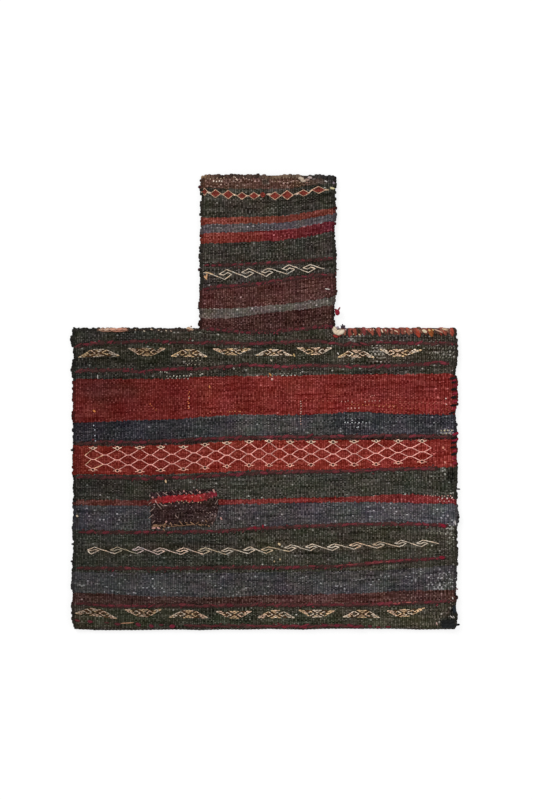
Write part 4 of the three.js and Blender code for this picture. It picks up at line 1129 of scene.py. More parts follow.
def overcast_edges(wool, seeds):
    """Every finished edge in its overcasting: the sides, the neck, the mouth and the left shoulder."""
    low = FOLD_Y + SIDE_START
    left, right, up = (-1, 0), (1, 0), (0, 1)
    faces, mouth_line = (front_height, back_base), ((NECK_LEFT, MOUTH_Y), (NECK_RIGHT, MOUTH_Y), up)
    side = SIDE_PITCH, SIDE_WRAP, lambda foot: EDGE_DULL * stripe_dye(foot)
    mouth = MOUTH_PITCH, MOUTH_WRAP, by_column(MOUTH_EDGE)
    shoulder = SHOULDER_PITCH, SHOULDER_WRAP, by_column(LEFT_SHOULDER)
    edges = [
        ("side_seam_left", (BODY_LEFT, low), (BODY_LEFT, SHOULDER_Y), left, *faces, *side),
        ("side_seam_right", (BODY_RIGHT, low), (BODY_RIGHT, SHOULDER_Y), right, *faces, *side),
        ("neck_seam_left", (NECK_LEFT, SHOULDER_Y), (NECK_LEFT, MOUTH_Y), left, *faces, *side),
        ("neck_seam_right", (NECK_RIGHT, SHOULDER_Y), (NECK_RIGHT, MOUTH_Y), right, *faces, *side),
        ("mouth_edge_front", *mouth_line, front_height, lambda x, y: front_height(x, y) - CLOTH, *mouth),
        ("mouth_edge_back", *mouth_line, lambda x, y: back_base(x, y) + CLOTH, back_base, *mouth),
        ("shoulder_seam_left", (BODY_LEFT, SHOULDER_Y), (NECK_LEFT, SHOULDER_Y), up, *faces, *shoulder),
    ]
    for seed, (node, *edge, pitch, wrap, colours) in zip(seeds, edges):
        rng = np.random.default_rng(seed)
        bundles = [overcast(edge, even_places(edge, pitch, rng), wrap, colours, rng)]
        if node == "side_seam_right":
            long_wraps = (BLACK_WRAPS, BLACK_WRAP, BLACK_DYE), (CRIMSON_WRAPS, CRIMSON_WRAP, CRIMSON_DYE)
            for rows, long_wrap, colour in long_wraps:
                at = (to_y(rows) - low) / (SHOULDER_Y - low)
                bundles.append(overcast(edge, at, long_wrap, lambda foot: dye(colour), rng, LONG_LEAN))
        if node == "shoulder_seam_left":
            bundles.append(thread_bundle(SHOULDER_LUMPS))
        name = node.replace("seam", "wraps").replace("edge", "wraps")
        yarn_piece(name, bundles, wool, "dark_overcast_wool", node)


def red_shoulder(wool, seed):
    """The right shoulder's mend: brown wraps under long slanted red stitches, pale yarn between them."""
    rng = np.random.default_rng(seed)
    edge = ((NECK_RIGHT, SHOULDER_Y), (BODY_RIGHT, SHOULDER_Y), (0, 1), front_height, back_base)

    def any_brown(foot):
        return dye(np.array(MEND_GROUND)[rng.integers(0, len(MEND_GROUND), len(foot))])

    brown = overcast(edge, even_places(edge, MEND_PITCH, rng), MEND_WRAP, any_brown, rng, MEND_LEAN)
    rows = np.array(RED_STITCHES, float)
    column, slant, leg, breadth = rows[:, :4].T[..., None]
    at = (to_x(column[:, 0]) - NECK_RIGHT) / (BODY_RIGHT - NECK_RIGHT)
    stitch = leg * PIXEL, STITCH_OUT, breadth * PIXEL, STITCH_THICK
    red = overcast(edge, at, stitch, lambda foot: dye(rows[:, 4:]), rng, -slant * PIXEL)
    bundles = [brown, red, thread_bundle(PALE_MEND, lift=0.0012)]
    yarn_piece("shoulder_wraps_right", bundles, wool, "red_overcast_wool", "shoulder_seam_right")


# The repair patch

# Photo rows of the patch's top, its red stripe and its foot by column, and columns of its two sides by row
PATCH_TOP = {150: 492.6, 183: 490, 216: 488.7}
RED_TOP = {150: 499.2, 160: 496.6, 175: 495, 200: 494.3, 216: 491.3}
RED_FOOT = {150: 502.6, 160: 503, 172: 501.8, 182: 500.6, 200: 501.4, 207: 499.6, 216: 495.6}
PATCH_FOOT = {150: 529, 160: 528.6, 170: 526.6, 190: 526, 216: 525.4}
PATCH_LEFT = {488: 150.4, 530: 151.2}
PATCH_RIGHT = {488: 215.4, 497: 218, 508: 218.6, 516: 217.2, 526: 212.4}
# Height of each band and its dyes by column
PATCH_BANDS = [
    (0.004, {150: (50, 34, 36), 216: (50, 33, 32)}),
    (0.007, {150: (112, 54, 52), 160: (132, 52, 52), 166: (152, 40, 46), 180: (138, 36, 40),
     192: (154, 46, 46), 203: (148, 44, 46), 208: (112, 44, 48), 216: (136, 42, 58)}),
    (0.028, {150: (50, 34, 33), 216: (56, 40, 37)}),
]
# Its weave: raggedness in pixels, ribs, row height, and where rows begin and end in a band
PATCH_RAGGED, PATCH_RIBS, PATCH_CELL, BAND_ENDS = 0.5, 44, 0.0018, (0.01, 0.99)
# Its form: thickness, lift, flat size, powers of its rounded rims, rib height, underside and puckers
PATCH_THICKNESS, PATCH_LIFT, PATCH_FLAT = 0.0019, 0.0004, (0.0745, 0.0405)
SIDE_RIM, END_RIM, PATCH_RIB, PATCH_UNDER = 14, 8, 0.4, 0.0001
PUCKER, PUCKERS, PUCKER_DRIFT = 0.0005, 3, 0.4
# Worn beads: the share everywhere, what a frayed spot adds, and its middle and half size across and down
PATCH_WORN, FRAYED = 0.01, 0.08
FRAY_X, FRAY_HALF_X, FRAY_Y, FRAY_HALF_Y = 0.92, 0.1, 0.6, 0.2


def repair_patch(wool, seed):
    """A small ribbed cloth on the front, its rims rounded as 1 - (2s - 1) to the 14th and to the 8th."""
    across = np.linspace(0, 1, PATCH_RIBS * COLUMNS_PER_RIB + 1)
    first, last = min(PATCH_LEFT.values()), max(PATCH_RIGHT.values())
    column = first + (last - first) * across
    edges = [read(chart, column) for chart in (PATCH_TOP, RED_TOP, RED_FOOT, PATCH_FOOT)]
    ragged = np.random.default_rng(seed).normal(0, PATCH_RAGGED, (len(edges), PATCH_RIBS + 1))
    edges = [edge + uneven[np.arange(len(across)) // COLUMNS_PER_RIB] for edge, uneven in zip(edges, ragged)]
    bands = []
    for (height, chart), top, foot in zip(PATCH_BANDS, edges, edges[1:]):
        share = np.linspace(*BAND_ENDS, max(2, round(height / PATCH_CELL)) + 1)[:, None]
        colours = np.tile(dye(read(chart, column)), (len(share), 1))
        bands.append((top * (1 - share) + foot * share, colours))
    row, colours = gathered(bands)
    left, right = read(PATCH_LEFT, row), read(PATCH_RIGHT, row)
    flat = place(np.stack([left + (right - left) * across, row], -1))
    s = np.broadcast_to(across, row.shape)
    t = (row - edges[0]) / (edges[-1] - edges[0])
    bed = front_height(flat[..., 0], flat[..., 1])
    round_rim = (1 - np.abs(2 * s - 1) ** SIDE_RIM) * (1 - np.abs(2 * t - 1) ** END_RIM)
    valley = np.arange(len(across)) % COLUMNS_PER_RIB == 0
    relief = np.where(valley, -PATCH_RIB, PATCH_RIB) * RIB_DEPTH * round_rim
    pucker = PUCKER * np.sin(TAU * (PUCKERS * s + PUCKER_DRIFT * np.sin(TAU * t)))
    height = bed + PATCH_LIFT + (PATCH_THICKNESS + pucker) * round_rim + relief
    faces = [stack(flat[..., 0], flat[..., 1], z).reshape(-1, 3) for z in (height, bed + PATCH_UNDER)]
    ids = np.arange(s.size).reshape(s.shape)
    quads = grid_quads(ids).reshape(-1, 4)
    quads = np.concatenate([quads, quads[:, ::-1] + s.size])
    rims = ids[0], ids[-1][::-1], ids[:, 0][::-1], ids[:, -1]
    walls = np.concatenate([wall(rim, rim + s.size) for rim in rims])
    weave = np.tile(stack(s * PATCH_RIBS, (row - row[0]) * (PIXEL / PICK)).reshape(-1, 2), (2, 1))
    frayed = np.clip(1 - ((s - FRAY_X) / FRAY_HALF_X) ** 2 - ((t - FRAY_Y) / FRAY_HALF_Y) ** 2, 0, 1)
    worn = np.tile((PATCH_WORN + FRAYED * frayed).ravel(), 2)
    corner_uv = weave[np.concatenate([quads.ravel(), walls.ravel()])]
    patch = make_piece("patch", np.concatenate(faces), quads, walls, "weave", corner_uv,
                       np.tile(colours, (2, 1)), worn)
    dress(patch, wool, "patch_cloth", "repair_patch")


# Stitches of the patch by colour: photo start and end, width in pixels
PATCH_THREADS = [
    ((150, 126, 118), [(156.5, 492, 160.5, 496.5, 0.9), (162.5, 492, 168.5, 495.2, 0.9),
     (171.5, 489.5, 175.5, 493.8, 0.8), (179, 491, 182, 493.8, 0.7), (189.5, 491, 193.5, 494, 1.1),
     (207, 490.5, 210.5, 493, 0.7), (148.4, 504.6, 152, 501.5, 0.8), (149.5, 512, 154.5, 507.8, 0.9),
     (148.5, 518.5, 153.5, 514.3, 0.9), (152.5, 523, 155.5, 520, 0.9), (157, 503.5, 162, 509, 0.8),
     (159.5, 502.5, 164, 506.5, 0.7), (175, 514.5, 178.5, 518.3, 0.9), (206, 511.5, 210, 514, 0.9),
     (218.5, 498.5, 214.8, 504.5, 0.9), (163.6, 505.2, 167.6, 505.4, 1.4), (149.4, 495.3, 150.8, 495.5, 1.3),
     (166, 492.3, 167.2, 492.3, 1.3), (210, 512, 211, 512.6, 1.3), (212, 514.4, 213.2, 515, 1.4),
     (203, 510.4, 204, 510.6, 1.2), (214.4, 515.6, 215.8, 516.4, 1.6), (179.5, 508.6, 180.6, 508.8, 1.2),
     (212, 522, 213, 523.6, 1.3)]),
    ((182, 138, 130), [(183.8, 490, 184.4, 492, 1.7), (186, 492.4, 187, 494, 1.2), (196.5, 489, 198, 491, 1),
     (199.4, 491.4, 200.6, 493, 2.2), (213, 489, 215, 492.8, 2.1), (152, 497, 154, 497.6, 2.1),
     (155.5, 500, 157, 503, 1.2), (191.8, 496, 193.2, 497.2, 1.1), (220.4, 517, 222, 519.8, 1.7),
     (152, 528, 156, 527.6, 2), (157, 527, 160.4, 528.6, 1.8), (166.9, 520.6, 166, 522.4, 1.8)]),
    ((140, 108, 84), [(160, 524.5, 161, 527, 1), (163, 526, 166, 527, 1.3), (163.8, 525.4, 166.4, 521.8, 1),
     (163, 528, 165, 531, 1), (170.5, 522, 172.5, 527, 1), (174, 524.2, 180, 525.6, 1),
     (179.5, 520.5, 183, 525, 1.1), (186, 524, 191, 524.6, 1.2), (190, 521.5, 195.5, 525.2, 1.2),
     (196, 524, 199, 521.5, 1.1), (198.5, 524, 202, 525.6, 1.2), (201, 524, 204.4, 525, 1),
     (205, 519.5, 207.5, 522, 0.9), (206.8, 524.4, 205, 524.8, 1), (208, 525.4, 210, 526.4, 1.2),
     (185, 522, 188, 523, 0.8), (200, 497, 202.2, 498.4, 1.3), (168, 525.6, 170, 526.4, 1),
     (170, 526.4, 178, 525.8, 0.9), (178, 525.8, 186, 525.2, 0.8), (186, 525.4, 194, 523.8, 0.9),
     (152, 526.4, 160, 525.6, 1.5), (158, 525.2, 168, 524.6, 1.2), (153, 525, 158, 524.6, 1.2)]),
]
# Dots of thread: photo places, half length, width and dye
PATCH_DOTS = [
    (169.5, 502.4), (171.5, 503.4), (177.5, 501), (179, 502.4), (182, 500.8), (184, 502.4), (186.5, 500.8),
    (188.5, 502.4), (193, 502.4), (198.5, 502), (201, 502.6),
]
DOT_HALF, DOT_WIDTH, DOT_DYE = 0.4, 1.2, (190, 160, 130)


def on_patch(points, out=1.0, climb=3.0):
    """Height of the patch's face over the cloth at photo points, falling to nothing past its rim."""
    column, row = points[..., 0], points[..., 1]
    inside = np.minimum(row - read(PATCH_TOP, column), read(PATCH_FOOT, column) - row)
    inside_sides = np.minimum(column - read(PATCH_LEFT, row), read(PATCH_RIGHT, row) - column)
    return (PATCH_THICKNESS + PATCH_LIFT) * ease((np.minimum(inside, inside_sides) + out) / climb)


def patch_stitches(wool, seed, flatness=0.8):
    """Whip stitches and darning: thin threads that climb from the cloth over the patch's rim."""
    rng = np.random.default_rng(seed)
    dots = [(x - DOT_HALF, y, x + DOT_HALF, y, DOT_WIDTH) for x, y in PATCH_DOTS]
    bundles = []
    for colour, threads in PATCH_THREADS + [(DOT_DYE, dots)]:
        rows = np.array(threads, float)
        ends, width = rows[:, :4].reshape(-1, 2, 2), rows[:, 4] * PIXEL
        lift = on_patch(ends)
        climb = lift[:, :1], lift[:, 1:]
        made = laid(ends[:, 0], ends[:, 1], width, flatness * width, climb, arc=0.3, sink=0.0)
        bundles.append((made, tint(colour, len(ends), rng, spread=0.16)))
    yarn_piece("patch_stitches", bundles, wool, "patch_thread", "patch_stitching")


# Knots, tufts and loose threads: photo start, photo end, width in pixels, colour

CREAM_KNOT = [
    (333.4, 326.6, 336.8, 334.6, 4.8, 220, 202, 178), (334.4, 333, 344.4, 331.4, 5.4, 226, 208, 184),
    (333.4, 329.6, 340.4, 335, 4.6, 210, 188, 160), (338, 333.8, 344.6, 330, 3.8, 218, 202, 180),
    (335.6, 328.2, 339, 327, 2.6, 160, 144, 150), (341, 327.6, 345.4, 325.8, 2.4, 70, 58, 66),
    (342.6, 323.8, 342.8, 328.4, 1.6, 60, 48, 56), (343.8, 327, 346.6, 329.6, 1.5, 90, 74, 86),
    (340.6, 325.4, 344, 328.6, 1.4, 56, 46, 52), (333, 335.2, 338.2, 337.2, 2.8, 138, 48, 44),
    (329.6, 325.6, 334, 328.4, 3, 84, 34, 46), (338.4, 336.2, 341, 335, 1.8, 116, 42, 40),
]
RED_KNOT = [
    (336.4, 309.4, 337.8, 315.2, 4.2, 140, 36, 52), (337.8, 310, 338.8, 314.6, 3, 156, 48, 60),
    (337.6, 311.4, 340.2, 307, 1.6, 126, 32, 46), (335.2, 308.8, 336.6, 311.4, 2, 110, 28, 42),
]
PALE_KNOT = [
    (186.4, 328.6, 190, 327.4, 2.4, 202, 170, 142), (189, 329.6, 192.6, 328.6, 2.2, 186, 150, 124),
    (190.6, 327.2, 191.6, 325.8, 1.6, 150, 120, 100), (187, 330.4, 190.4, 331, 1.6, 90, 62, 52),
    (191.6, 330.6, 193.4, 329, 1.5, 176, 150, 128),
]
LOOSE_THREADS = [
    (165.6, 479.6, 166.4, 483, 1.8, 206, 176, 140), (269, 373, 271.6, 376.2, 1.3, 196, 140, 80),
    (271.2, 379.2, 273, 379.4, 2.6, 226, 168, 158), (189, 397, 189.2, 399, 1, 196, 150, 140),
    (189, 405.5, 189.2, 408, 1, 190, 140, 130), (209.4, 385.4, 210, 388.4, 1.6, 206, 130, 84),
    (93, 410.2, 95.6, 412, 2, 206, 128, 74), (97.6, 374.6, 97.8, 379, 1.2, 170, 166, 160),
    (443, 446.6, 443.6, 449, 2, 232, 150, 130), (444.6, 461.4, 445.6, 463.4, 1.9, 226, 150, 136),
    (278, 543, 280.6, 545, 2.2, 214, 190, 150), (274, 560.4, 274.6, 562, 1.4, 200, 176, 140),
    (279.8, 558.4, 280.4, 560, 1.4, 200, 176, 140), (325, 288.6, 330, 289.4, 1.4, 206, 196, 188),
    (293.5, 353.6, 294.8, 357, 1.3, 208, 176, 120), (270.4, 359.4, 272, 361.6, 1.3, 196, 180, 160),
    (337.4, 352.4, 338.8, 354.6, 1.2, 214, 208, 200), (120, 623.6, 134, 622.8, 0.9, 188, 140, 110),
    (390, 603.4, 420, 601.6, 0.9, 196, 110, 104), (334, 565.4, 366, 563, 0.9, 150, 74, 74),
    (362, 563.6, 398, 560.2, 0.9, 166, 86, 84), (352, 580, 366, 578.6, 0.8, 120, 116, 116),
    (205, 271.8, 214, 274.6, 1.3, 206, 172, 132), (204, 275.6, 207, 279.6, 2, 204, 160, 120),
    (207, 273.6, 206, 279.4, 1.8, 196, 150, 112), (450, 615.6, 453.4, 618.6, 1, 206, 196, 186),
    (453, 616, 455, 618.6, 0.9, 196, 190, 182), (436.4, 622.4, 437.6, 625.4, 1.2, 206, 170, 160),
    (298.4, 178.4, 304, 179.2, 3, 196, 178, 158), (300.4, 181, 306, 181.2, 3, 188, 168, 150),
    (304.6, 180, 310, 179.8, 2.4, 158, 132, 120), (307.4, 177.6, 312.4, 178, 2.4, 182, 164, 160),
    (312, 179.6, 316, 178.8, 1.6, 112, 100, 96), (305.4, 182.8, 308.4, 182.6, 1.4, 140, 104, 92),
    (333.4, 181.6, 334.4, 184, 1.8, 150, 134, 144), (266.4, 194.6, 271.6, 194.4, 1.9, 206, 182, 160),
    (207.4, 192.6, 211, 192.8, 2, 206, 184, 164), (295.6, 194.4, 298.6, 193.8, 1.8, 214, 186, 168),
    (440.6, 622, 457, 621.6, 3.4, 34, 34, 33), (440.6, 624.8, 457, 624.8, 3.6, 36, 37, 37),
    (441, 627.2, 456.6, 627.2, 2.4, 40, 41, 42), (454.4, 605.6, 454.8, 614, 3.4, 36, 41, 45),
    (330, 187.6, 335, 188.6, 2.3, 200, 190, 148), (324.5, 180.6, 327.5, 181.8, 1.5, 184, 178, 174),
    (76, 515.4, 78, 516.8, 2, 206, 186, 160), (452.4, 597, 453.4, 599.6, 1.2, 214, 206, 198),
    (455.2, 520.6, 456, 526, 1.5, 196, 190, 186), (253.4, 526.6, 256.6, 528.6, 2.6, 120, 30, 44),
    (262.6, 524.6, 263.4, 528, 2.4, 126, 34, 46), (440.6, 524.8, 446, 526.6, 3.4, 132, 30, 48),
    (439, 557.4, 445, 557.8, 3.4, 124, 30, 46),
]
# Tufts that stick out of the sides
EDGE_TUFTS = [
    (74, 450.4, 70.4, 450, 2.4, 34, 28, 26), (74, 561.4, 70.4, 561.6, 2.3, 34, 28, 28),
    (74, 416, 71.2, 416.2, 1.9, 36, 30, 30), (74, 544, 71.2, 544.4, 2.1, 36, 32, 30),
    (456, 489, 460.6, 489.3, 1.6, 40, 36, 34), (457, 518, 459.8, 517, 2.6, 30, 28, 28),
    (456, 433, 459, 433.4, 1.9, 150, 40, 60), (455, 625, 460, 624.6, 2.2, 28, 30, 30),
    (455.6, 589, 458.4, 589.4, 1.5, 110, 80, 80), (201, 186.4, 198, 187, 2.4, 70, 30, 36),
    (200.4, 269, 197.8, 269.3, 2.2, 60, 28, 32), (200, 308, 197.4, 308.3, 1.7, 60, 44, 42),
    (335.4, 270, 339, 269.4, 1, 120, 110, 104), (75.4, 329, 73, 327.4, 2.2, 40, 40, 36),
    (76.4, 329.6, 79.4, 327.6, 1.7, 44, 44, 40), (74, 369, 71, 369.4, 2, 40, 34, 32),
]
# Rows of pale beads: photo start and end, how many, the stroke of each, its width in pixels, colour
BEAD_ROWS = [
    (400, 402, 455, 404, 14, 0.6, 0, 1.1, 204, 126, 106),
    (302, 400.6, 340, 400.8, 10, 0.6, 0, 1.1, 190, 108, 92),
    (376, 412, 455, 413, 16, 0.6, 0, 1.1, 190, 108, 84), (210, 412, 262, 411, 10, 0.6, 0, 1.1, 190, 104, 66),
    (352, 404.6, 396, 405.4, 14, 0.6, 0, 1.1, 206, 128, 80),
    (392, 408.4, 452, 409.6, 14, 0.6, 0, 1.1, 196, 112, 76),
    (150, 404, 156, 410, 4, 0.7, 0, 1.3, 196, 108, 66),
    (230, 411.6, 240, 411.4, 3, 0.9, 0, 1.5, 210, 140, 96),
    (341.5, 401.4, 352, 401.6, 4, 0.8, 0, 1.4, 222, 160, 148),
    (365, 401.4, 379, 400.4, 5, 0.8, 0, 1.4, 222, 160, 148),
    (348, 408.6, 358.4, 408.4, 4, 0.9, 0, 1.6, 230, 170, 156),
    (370.6, 396.4, 374.4, 395.6, 3, 0.8, 0, 1.4, 214, 140, 130),
    (378.6, 406.6, 394, 406.6, 4, 0.9, 0, 1.4, 224, 150, 120),
    (340.6, 418.6, 358.6, 418.6, 6, 0.8, 0, 1.2, 150, 152, 154),
    (344.6, 422.4, 365.8, 422.2, 7, 0.9, 0, 1.5, 206, 210, 210),
    (356.6, 428, 358.4, 426.8, 2, 0.8, 0, 1.5, 190, 194, 194),
    (384, 422, 396, 421.6, 4, 0.8, 0, 1.2, 140, 142, 146),
    (188.8, 392, 188.6, 408, 8, 0.5, 0.5, 1.4, 206, 118, 76),
    (94, 425, 95.8, 441, 4, 0.8, 0.4, 1.5, 170, 172, 180),
    (167, 376.4, 190, 376, 8, 0.8, 0.5, 1.5, 190, 184, 170),
    (168, 378.6, 188, 378.2, 6, 0.8, 0.4, 1.4, 176, 168, 156),
    (160, 372, 167, 372.6, 4, 0.8, 0.5, 1.4, 176, 170, 156),
    (272, 373.6, 300, 373.2, 8, 0.8, 0, 1.2, 150, 146, 134),
    (268, 376, 282, 375.8, 4, 0.8, 0, 1.3, 160, 154, 142),
    (283, 375.5, 295, 375.2, 4, 0.8, 0, 1.5, 214, 206, 196),
    (424, 495.4, 451, 496, 10, 0.7, 0, 1.4, 206, 150, 140),
    (438, 499, 452, 498.6, 4, 0.9, 0.6, 2, 236, 206, 196),
    (440, 501.4, 449, 501, 3, 0.6, 0, 1.3, 220, 180, 170),
    (431, 575, 455, 574.6, 7, 0.7, 0, 1.4, 176, 174, 176),
    (433, 579, 455, 578.6, 6, 0.7, 0, 1.4, 170, 168, 170),
    (431, 583, 453, 582.6, 6, 0.7, 0, 1.4, 170, 168, 168),
    (434, 587, 450, 586.6, 5, 0.7, 0, 1.3, 160, 158, 158),
    (390, 480, 420, 480, 9, 0.7, 0, 1.2, 136, 130, 116),
    (338, 571, 365, 570.6, 8, 0.7, 0, 1.2, 136, 132, 126),
    (215, 298, 235, 297.6, 6, 0.7, 0, 1.2, 150, 116, 106),
    (310, 296, 330, 294, 6, 0.7, 0, 1.2, 150, 116, 106),
    (372, 346, 384, 345.6, 4, 0.7, 0.4, 1.4, 196, 188, 170),
    (374, 350.4, 384, 350, 3, 0.7, 0.4, 1.4, 190, 180, 162),
    (372, 354.4, 384, 354, 4, 0.7, 0.4, 1.3, 180, 170, 152),
    (374, 358.4, 383, 358, 3, 0.7, 0.4, 1.3, 180, 170, 152),
    (185, 361, 200, 360.6, 5, 0.7, 0, 1.3, 190, 180, 160),
    (187, 364.6, 199, 364.4, 4, 0.7, 0, 1.3, 184, 174, 154),
    (429, 348.4, 455, 348, 10, 0.7, -1.9, 1, 130, 126, 112),
    (430, 353, 456, 352.6, 10, 0.7, -1.9, 1, 134, 130, 116),
    (429, 357.6, 455, 357, 10, 0.7, -1.9, 1, 126, 122, 108),
    (428, 533, 450, 533.4, 8, 0, 2.6, 1.1, 124, 120, 106), (422, 610, 446, 610, 9, 0, 2.8, 1, 104, 98, 84),
    (424, 617, 444, 617, 8, 0, 3, 1, 110, 102, 88), (424, 624, 436, 624.5, 6, 0, 3, 1, 108, 100, 88),
    (441, 431, 452, 430.6, 4, 1.2, 0.6, 1.8, 190, 180, 144),
    (443, 433.6, 450, 433.2, 3, 1, 0, 1.5, 176, 166, 136),
    (301, 401, 300.4, 424, 10, 0, 0.9, 1.3, 206, 166, 152),
    (446, 398.6, 446.6, 404, 2, 0.2, 1.2, 1.5, 226, 190, 180),
    (207, 178.5, 224, 178.5, 6, 0.8, 0.6, 1.5, 186, 162, 136),
    (214, 181.5, 222, 181.5, 4, 0.8, 0.6, 1.7, 224, 204, 188),
    (234, 176.5, 238, 181, 4, 0.8, 0.5, 1.6, 222, 196, 176),
    (243, 178, 252, 181, 4, 0.8, 0.5, 1.4, 190, 160, 146),
    (272, 178, 300, 178, 9, 0.8, 0.5, 1.4, 168, 142, 120),
    (275, 182, 300, 183, 8, 0.8, 0.5, 1.3, 168, 140, 118),
    (280, 186, 297, 186, 6, 0.7, 0.4, 1.3, 170, 134, 116),
]


def bead_bundle(seed, jitter=0.3, flatness=0.6):
    """Short beads of worn warp, spread evenly along each charted row, a little off and in their own shade."""
    rng = np.random.default_rng(seed)
    beads = []
    for row in BEAD_ROWS:
        first, last, stroke = np.array(row[0:2]), np.array(row[2:4]), np.array(row[5:7])
        count, width, colour = row[4], row[7], row[8:]
        share = np.linspace(0, 1, count)[:, None]
        middle = first * (1 - share) + last * share + rng.normal(0, jitter, (count, 2))
        wide = breadths(width, count, rng, least=0.8, most=1.15)
        beads.append((middle - stroke / 2, middle + stroke / 2, wide, tint(colour, count, rng, spread=0.2)))
    start, end, width, colours = gathered(beads)
    return laid(start, end, width, flatness * width, arc=0.5, sink=0.0), colours


def knots(wool, seed):
    """The three knots at the neck, and the loose threads that lie on the front."""
    for name, threads, slot, node in (
        ("cream_tuft", CREAM_KNOT, "cream_knot_wool", "cream_knot"),
        ("red_tuft", RED_KNOT, "red_knot_wool", "red_knot"),
        ("pale_tuft", PALE_KNOT, "cream_knot_wool", "pale_knot"),
    ):
        yarn_piece(name, [thread_bundle(threads, lift=0.0008)], wool, slot, node)
    threads = [thread_bundle(LOOSE_THREADS), thread_bundle(EDGE_TUFTS), bead_bundle(seed)]
    yarn_piece("loose_threads", threads, wool, "cream_knot_wool")


# Materials

WHITE = (1, 1, 1, 1)
WOOL_SURFACE = {"Roughness": 0.92, "Specular IOR Level": 0.04, "Sheen Weight": 0.02, "Sheen Roughness": 0.6}
GROUND_SURFACE = {"Base Color": (0.3, 0.3, 0.3, 1), "Roughness": 0.9, "Specular IOR Level": 0.0,
                  "Emission Color": WHITE}


class Surface:
    """A material, with short calls for its nodes."""

    def __init__(self, name, values):
        self.material = bpy.data.materials.new(name)
        self.material.use_nodes = True
        self.tree = self.material.node_tree
        self.inputs = self.tree.nodes["Principled BSDF"].inputs
        for socket, value in values.items():
            self.inputs[socket].default_value = value

    def feed(self, socket, value):
        """A link from another node's output, or a plain value on the socket."""
        if isinstance(value, bpy.types.NodeSocket):
            self.tree.links.new(value, socket)
        else:
            socket.default_value = value

    def node(self, kind, *values, **settings):
        """A new node with its settings, and with its first inputs fed in order."""
        made = self.tree.nodes.new(kind)
        for key, value in settings.items():
            setattr(made, key, value)
        for socket, value in zip(made.inputs, values):
            self.feed(socket, value)
        return made

    def calc(self, operation, *values):
        """A sum on numbers."""
        return self.node("ShaderNodeMath", *values, operation=operation).outputs[0]

    def vector(self, operation, *values):
        """A sum on vectors or colours."""
        made = self.node("ShaderNodeVectorMath", *values, operation=operation)
        return made.outputs["Value" if operation == "DOT_PRODUCT" else "Vector"]

    def span(self, value, low, high):
        """low + (high - low) * value"""
        return self.calc("MULTIPLY_ADD", value, high - low, low)

    def ramp(self, value, start, end, low, high):
        """A smooth rise from low at start to high at end."""
        made = self.node("ShaderNodeMapRange", value, start, end, low, high, interpolation_type="SMOOTHSTEP")
        return made.outputs[0]

    def attribute(self, name):
        """A value or colour that the mesh carries."""
        return self.node("ShaderNodeAttribute", attribute_name=name).outputs

    def noise(self, vector, scale, detail=2.0):
        """Soft noise, as a value and as a colour."""
        made = self.node("ShaderNodeTexNoise", vector)
        for socket, value in (("Scale", scale), ("Detail", detail)):
            self.feed(made.inputs[socket], value)
        return made.outputs

    def hue(self, chance, spread):
        """A factor about 1 for each channel: 1 - spread / 2 + spread * chance."""
        return self.vector("MULTIPLY_ADD", chance, (spread,) * 3, (1 - spread / 2,) * 3)

    def curve(self, colour, power):
        """Each channel raised to a power."""
        return self.node("ShaderNodeGamma", colour, power).outputs[0]

    def uv(self, name):
        """Both numbers of a UV map."""
        place_on_map = self.node("ShaderNodeUVMap", uv_map=name).outputs[0]
        return self.node("ShaderNodeSeparateXYZ", place_on_map).outputs[:2]

    def on_bag(self):
        """The place on the bag, in metres."""
        return self.node("ShaderNodeTexCoord").outputs["Object"]

    def join(self, x, y, z=0.0):
        """A vector from its parts."""
        return self.node("ShaderNodeCombineXYZ", x, y, z).outputs[0]

    def arch(self, share):
        """1 - (2s - 1) squared"""
        centred = self.calc("MULTIPLY_ADD", share, 2.0, -1.0)
        return self.calc("SUBTRACT", 1.0, self.calc("MULTIPLY", centred, centred))

    def chance(self, x, y):
        """A random number and a random colour for each whole-number place."""
        return self.node("ShaderNodeTexWhiteNoise", self.join(x, y), noise_dimensions="2D").outputs

    def product(self, first, *others):
        """All the values multiplied."""
        for other in others:
            first = self.calc("MULTIPLY", first, other)
        return first

    def finish(self, colour, height, bump, depth):
        """The given colour, and the given height as relief."""
        self.feed(self.inputs["Base Color"], colour)
        relief = self.node("ShaderNodeBump")
        for socket, value in (("Strength", bump), ("Distance", depth), ("Height", height)):
            self.feed(relief.inputs[socket], value)
        self.feed(self.inputs["Normal"], relief.outputs[0])
        return self.material


# Weave tones: painted shade in a rib's valley and painted light on its crest, painted shade at a bead's edge
# and painted light on its middle, dullest and brightest bead and pick
VALLEY_SHADE, CREST_LIGHT, RIDGE_MEAN = 0.79, 1.13, 2 / 3
JOINT_SHADE, BEAD_TOP_LIGHT, BEAD_ROUND = 0.30, 1.25, 1.7
DULL, BRIGHT, LUCK_CURVE = 0.55, 1.75, 1.6
PICK_DULL, PICK_SPREAD = 0.2, 4.0
# Drift along a pick and step from pick to pick in its noise, slow patches, fibre, and streaks along the warps
PICK_DRIFT, PICK_STEP = 0.06, 3.7
PATCHES, PATCH_DETAIL, FIBRE, SLOW_TONES = 60.0, 3.0, 2600.0, (0.75, 1.25)
STREAK, STREAK_ACROSS, STREAK_ALONG = 0.07, 0.4, 0.012
# How far and about which tone these lift the dye as it looks, and how much less green and blue in red
TONE_SPAN, TONE_MIDDLE, RED_CALM = 0.30, 0.80, 0.55
SCREEN_CURVE, DARKEST = 2.2, 0.03
# Scale and spread of slow shifts of hue, and spread from bead to bead
HUE, HUE_SPREAD, OWN_HUE_SPREAD = 45.0, 0.2, 0.05
# Worn beads: how much paler, the share of rows that they lie in, and how much denser there
WORN_LIFT, WORN_ROWS, WORN_DENSER = 0.30, 0.33, 3.0
# The left third is worn flatter, painted as a narrower tone and weaker painted rib shade: photo columns where
# that ends, and what it leaves of tone and of the painted rib shade
FLAT_END, FLAT_TONE, FLAT_RIB_SHADE = (165, 215), 0.80, 0.45
# The right end shows its ribs more, as deeper painted shade in their valleys and more painted light on their
# crests: photo columns where that begins, and how much more
BOLD_END, BOLD_RIB_SHADE = (395, 430), 1.9
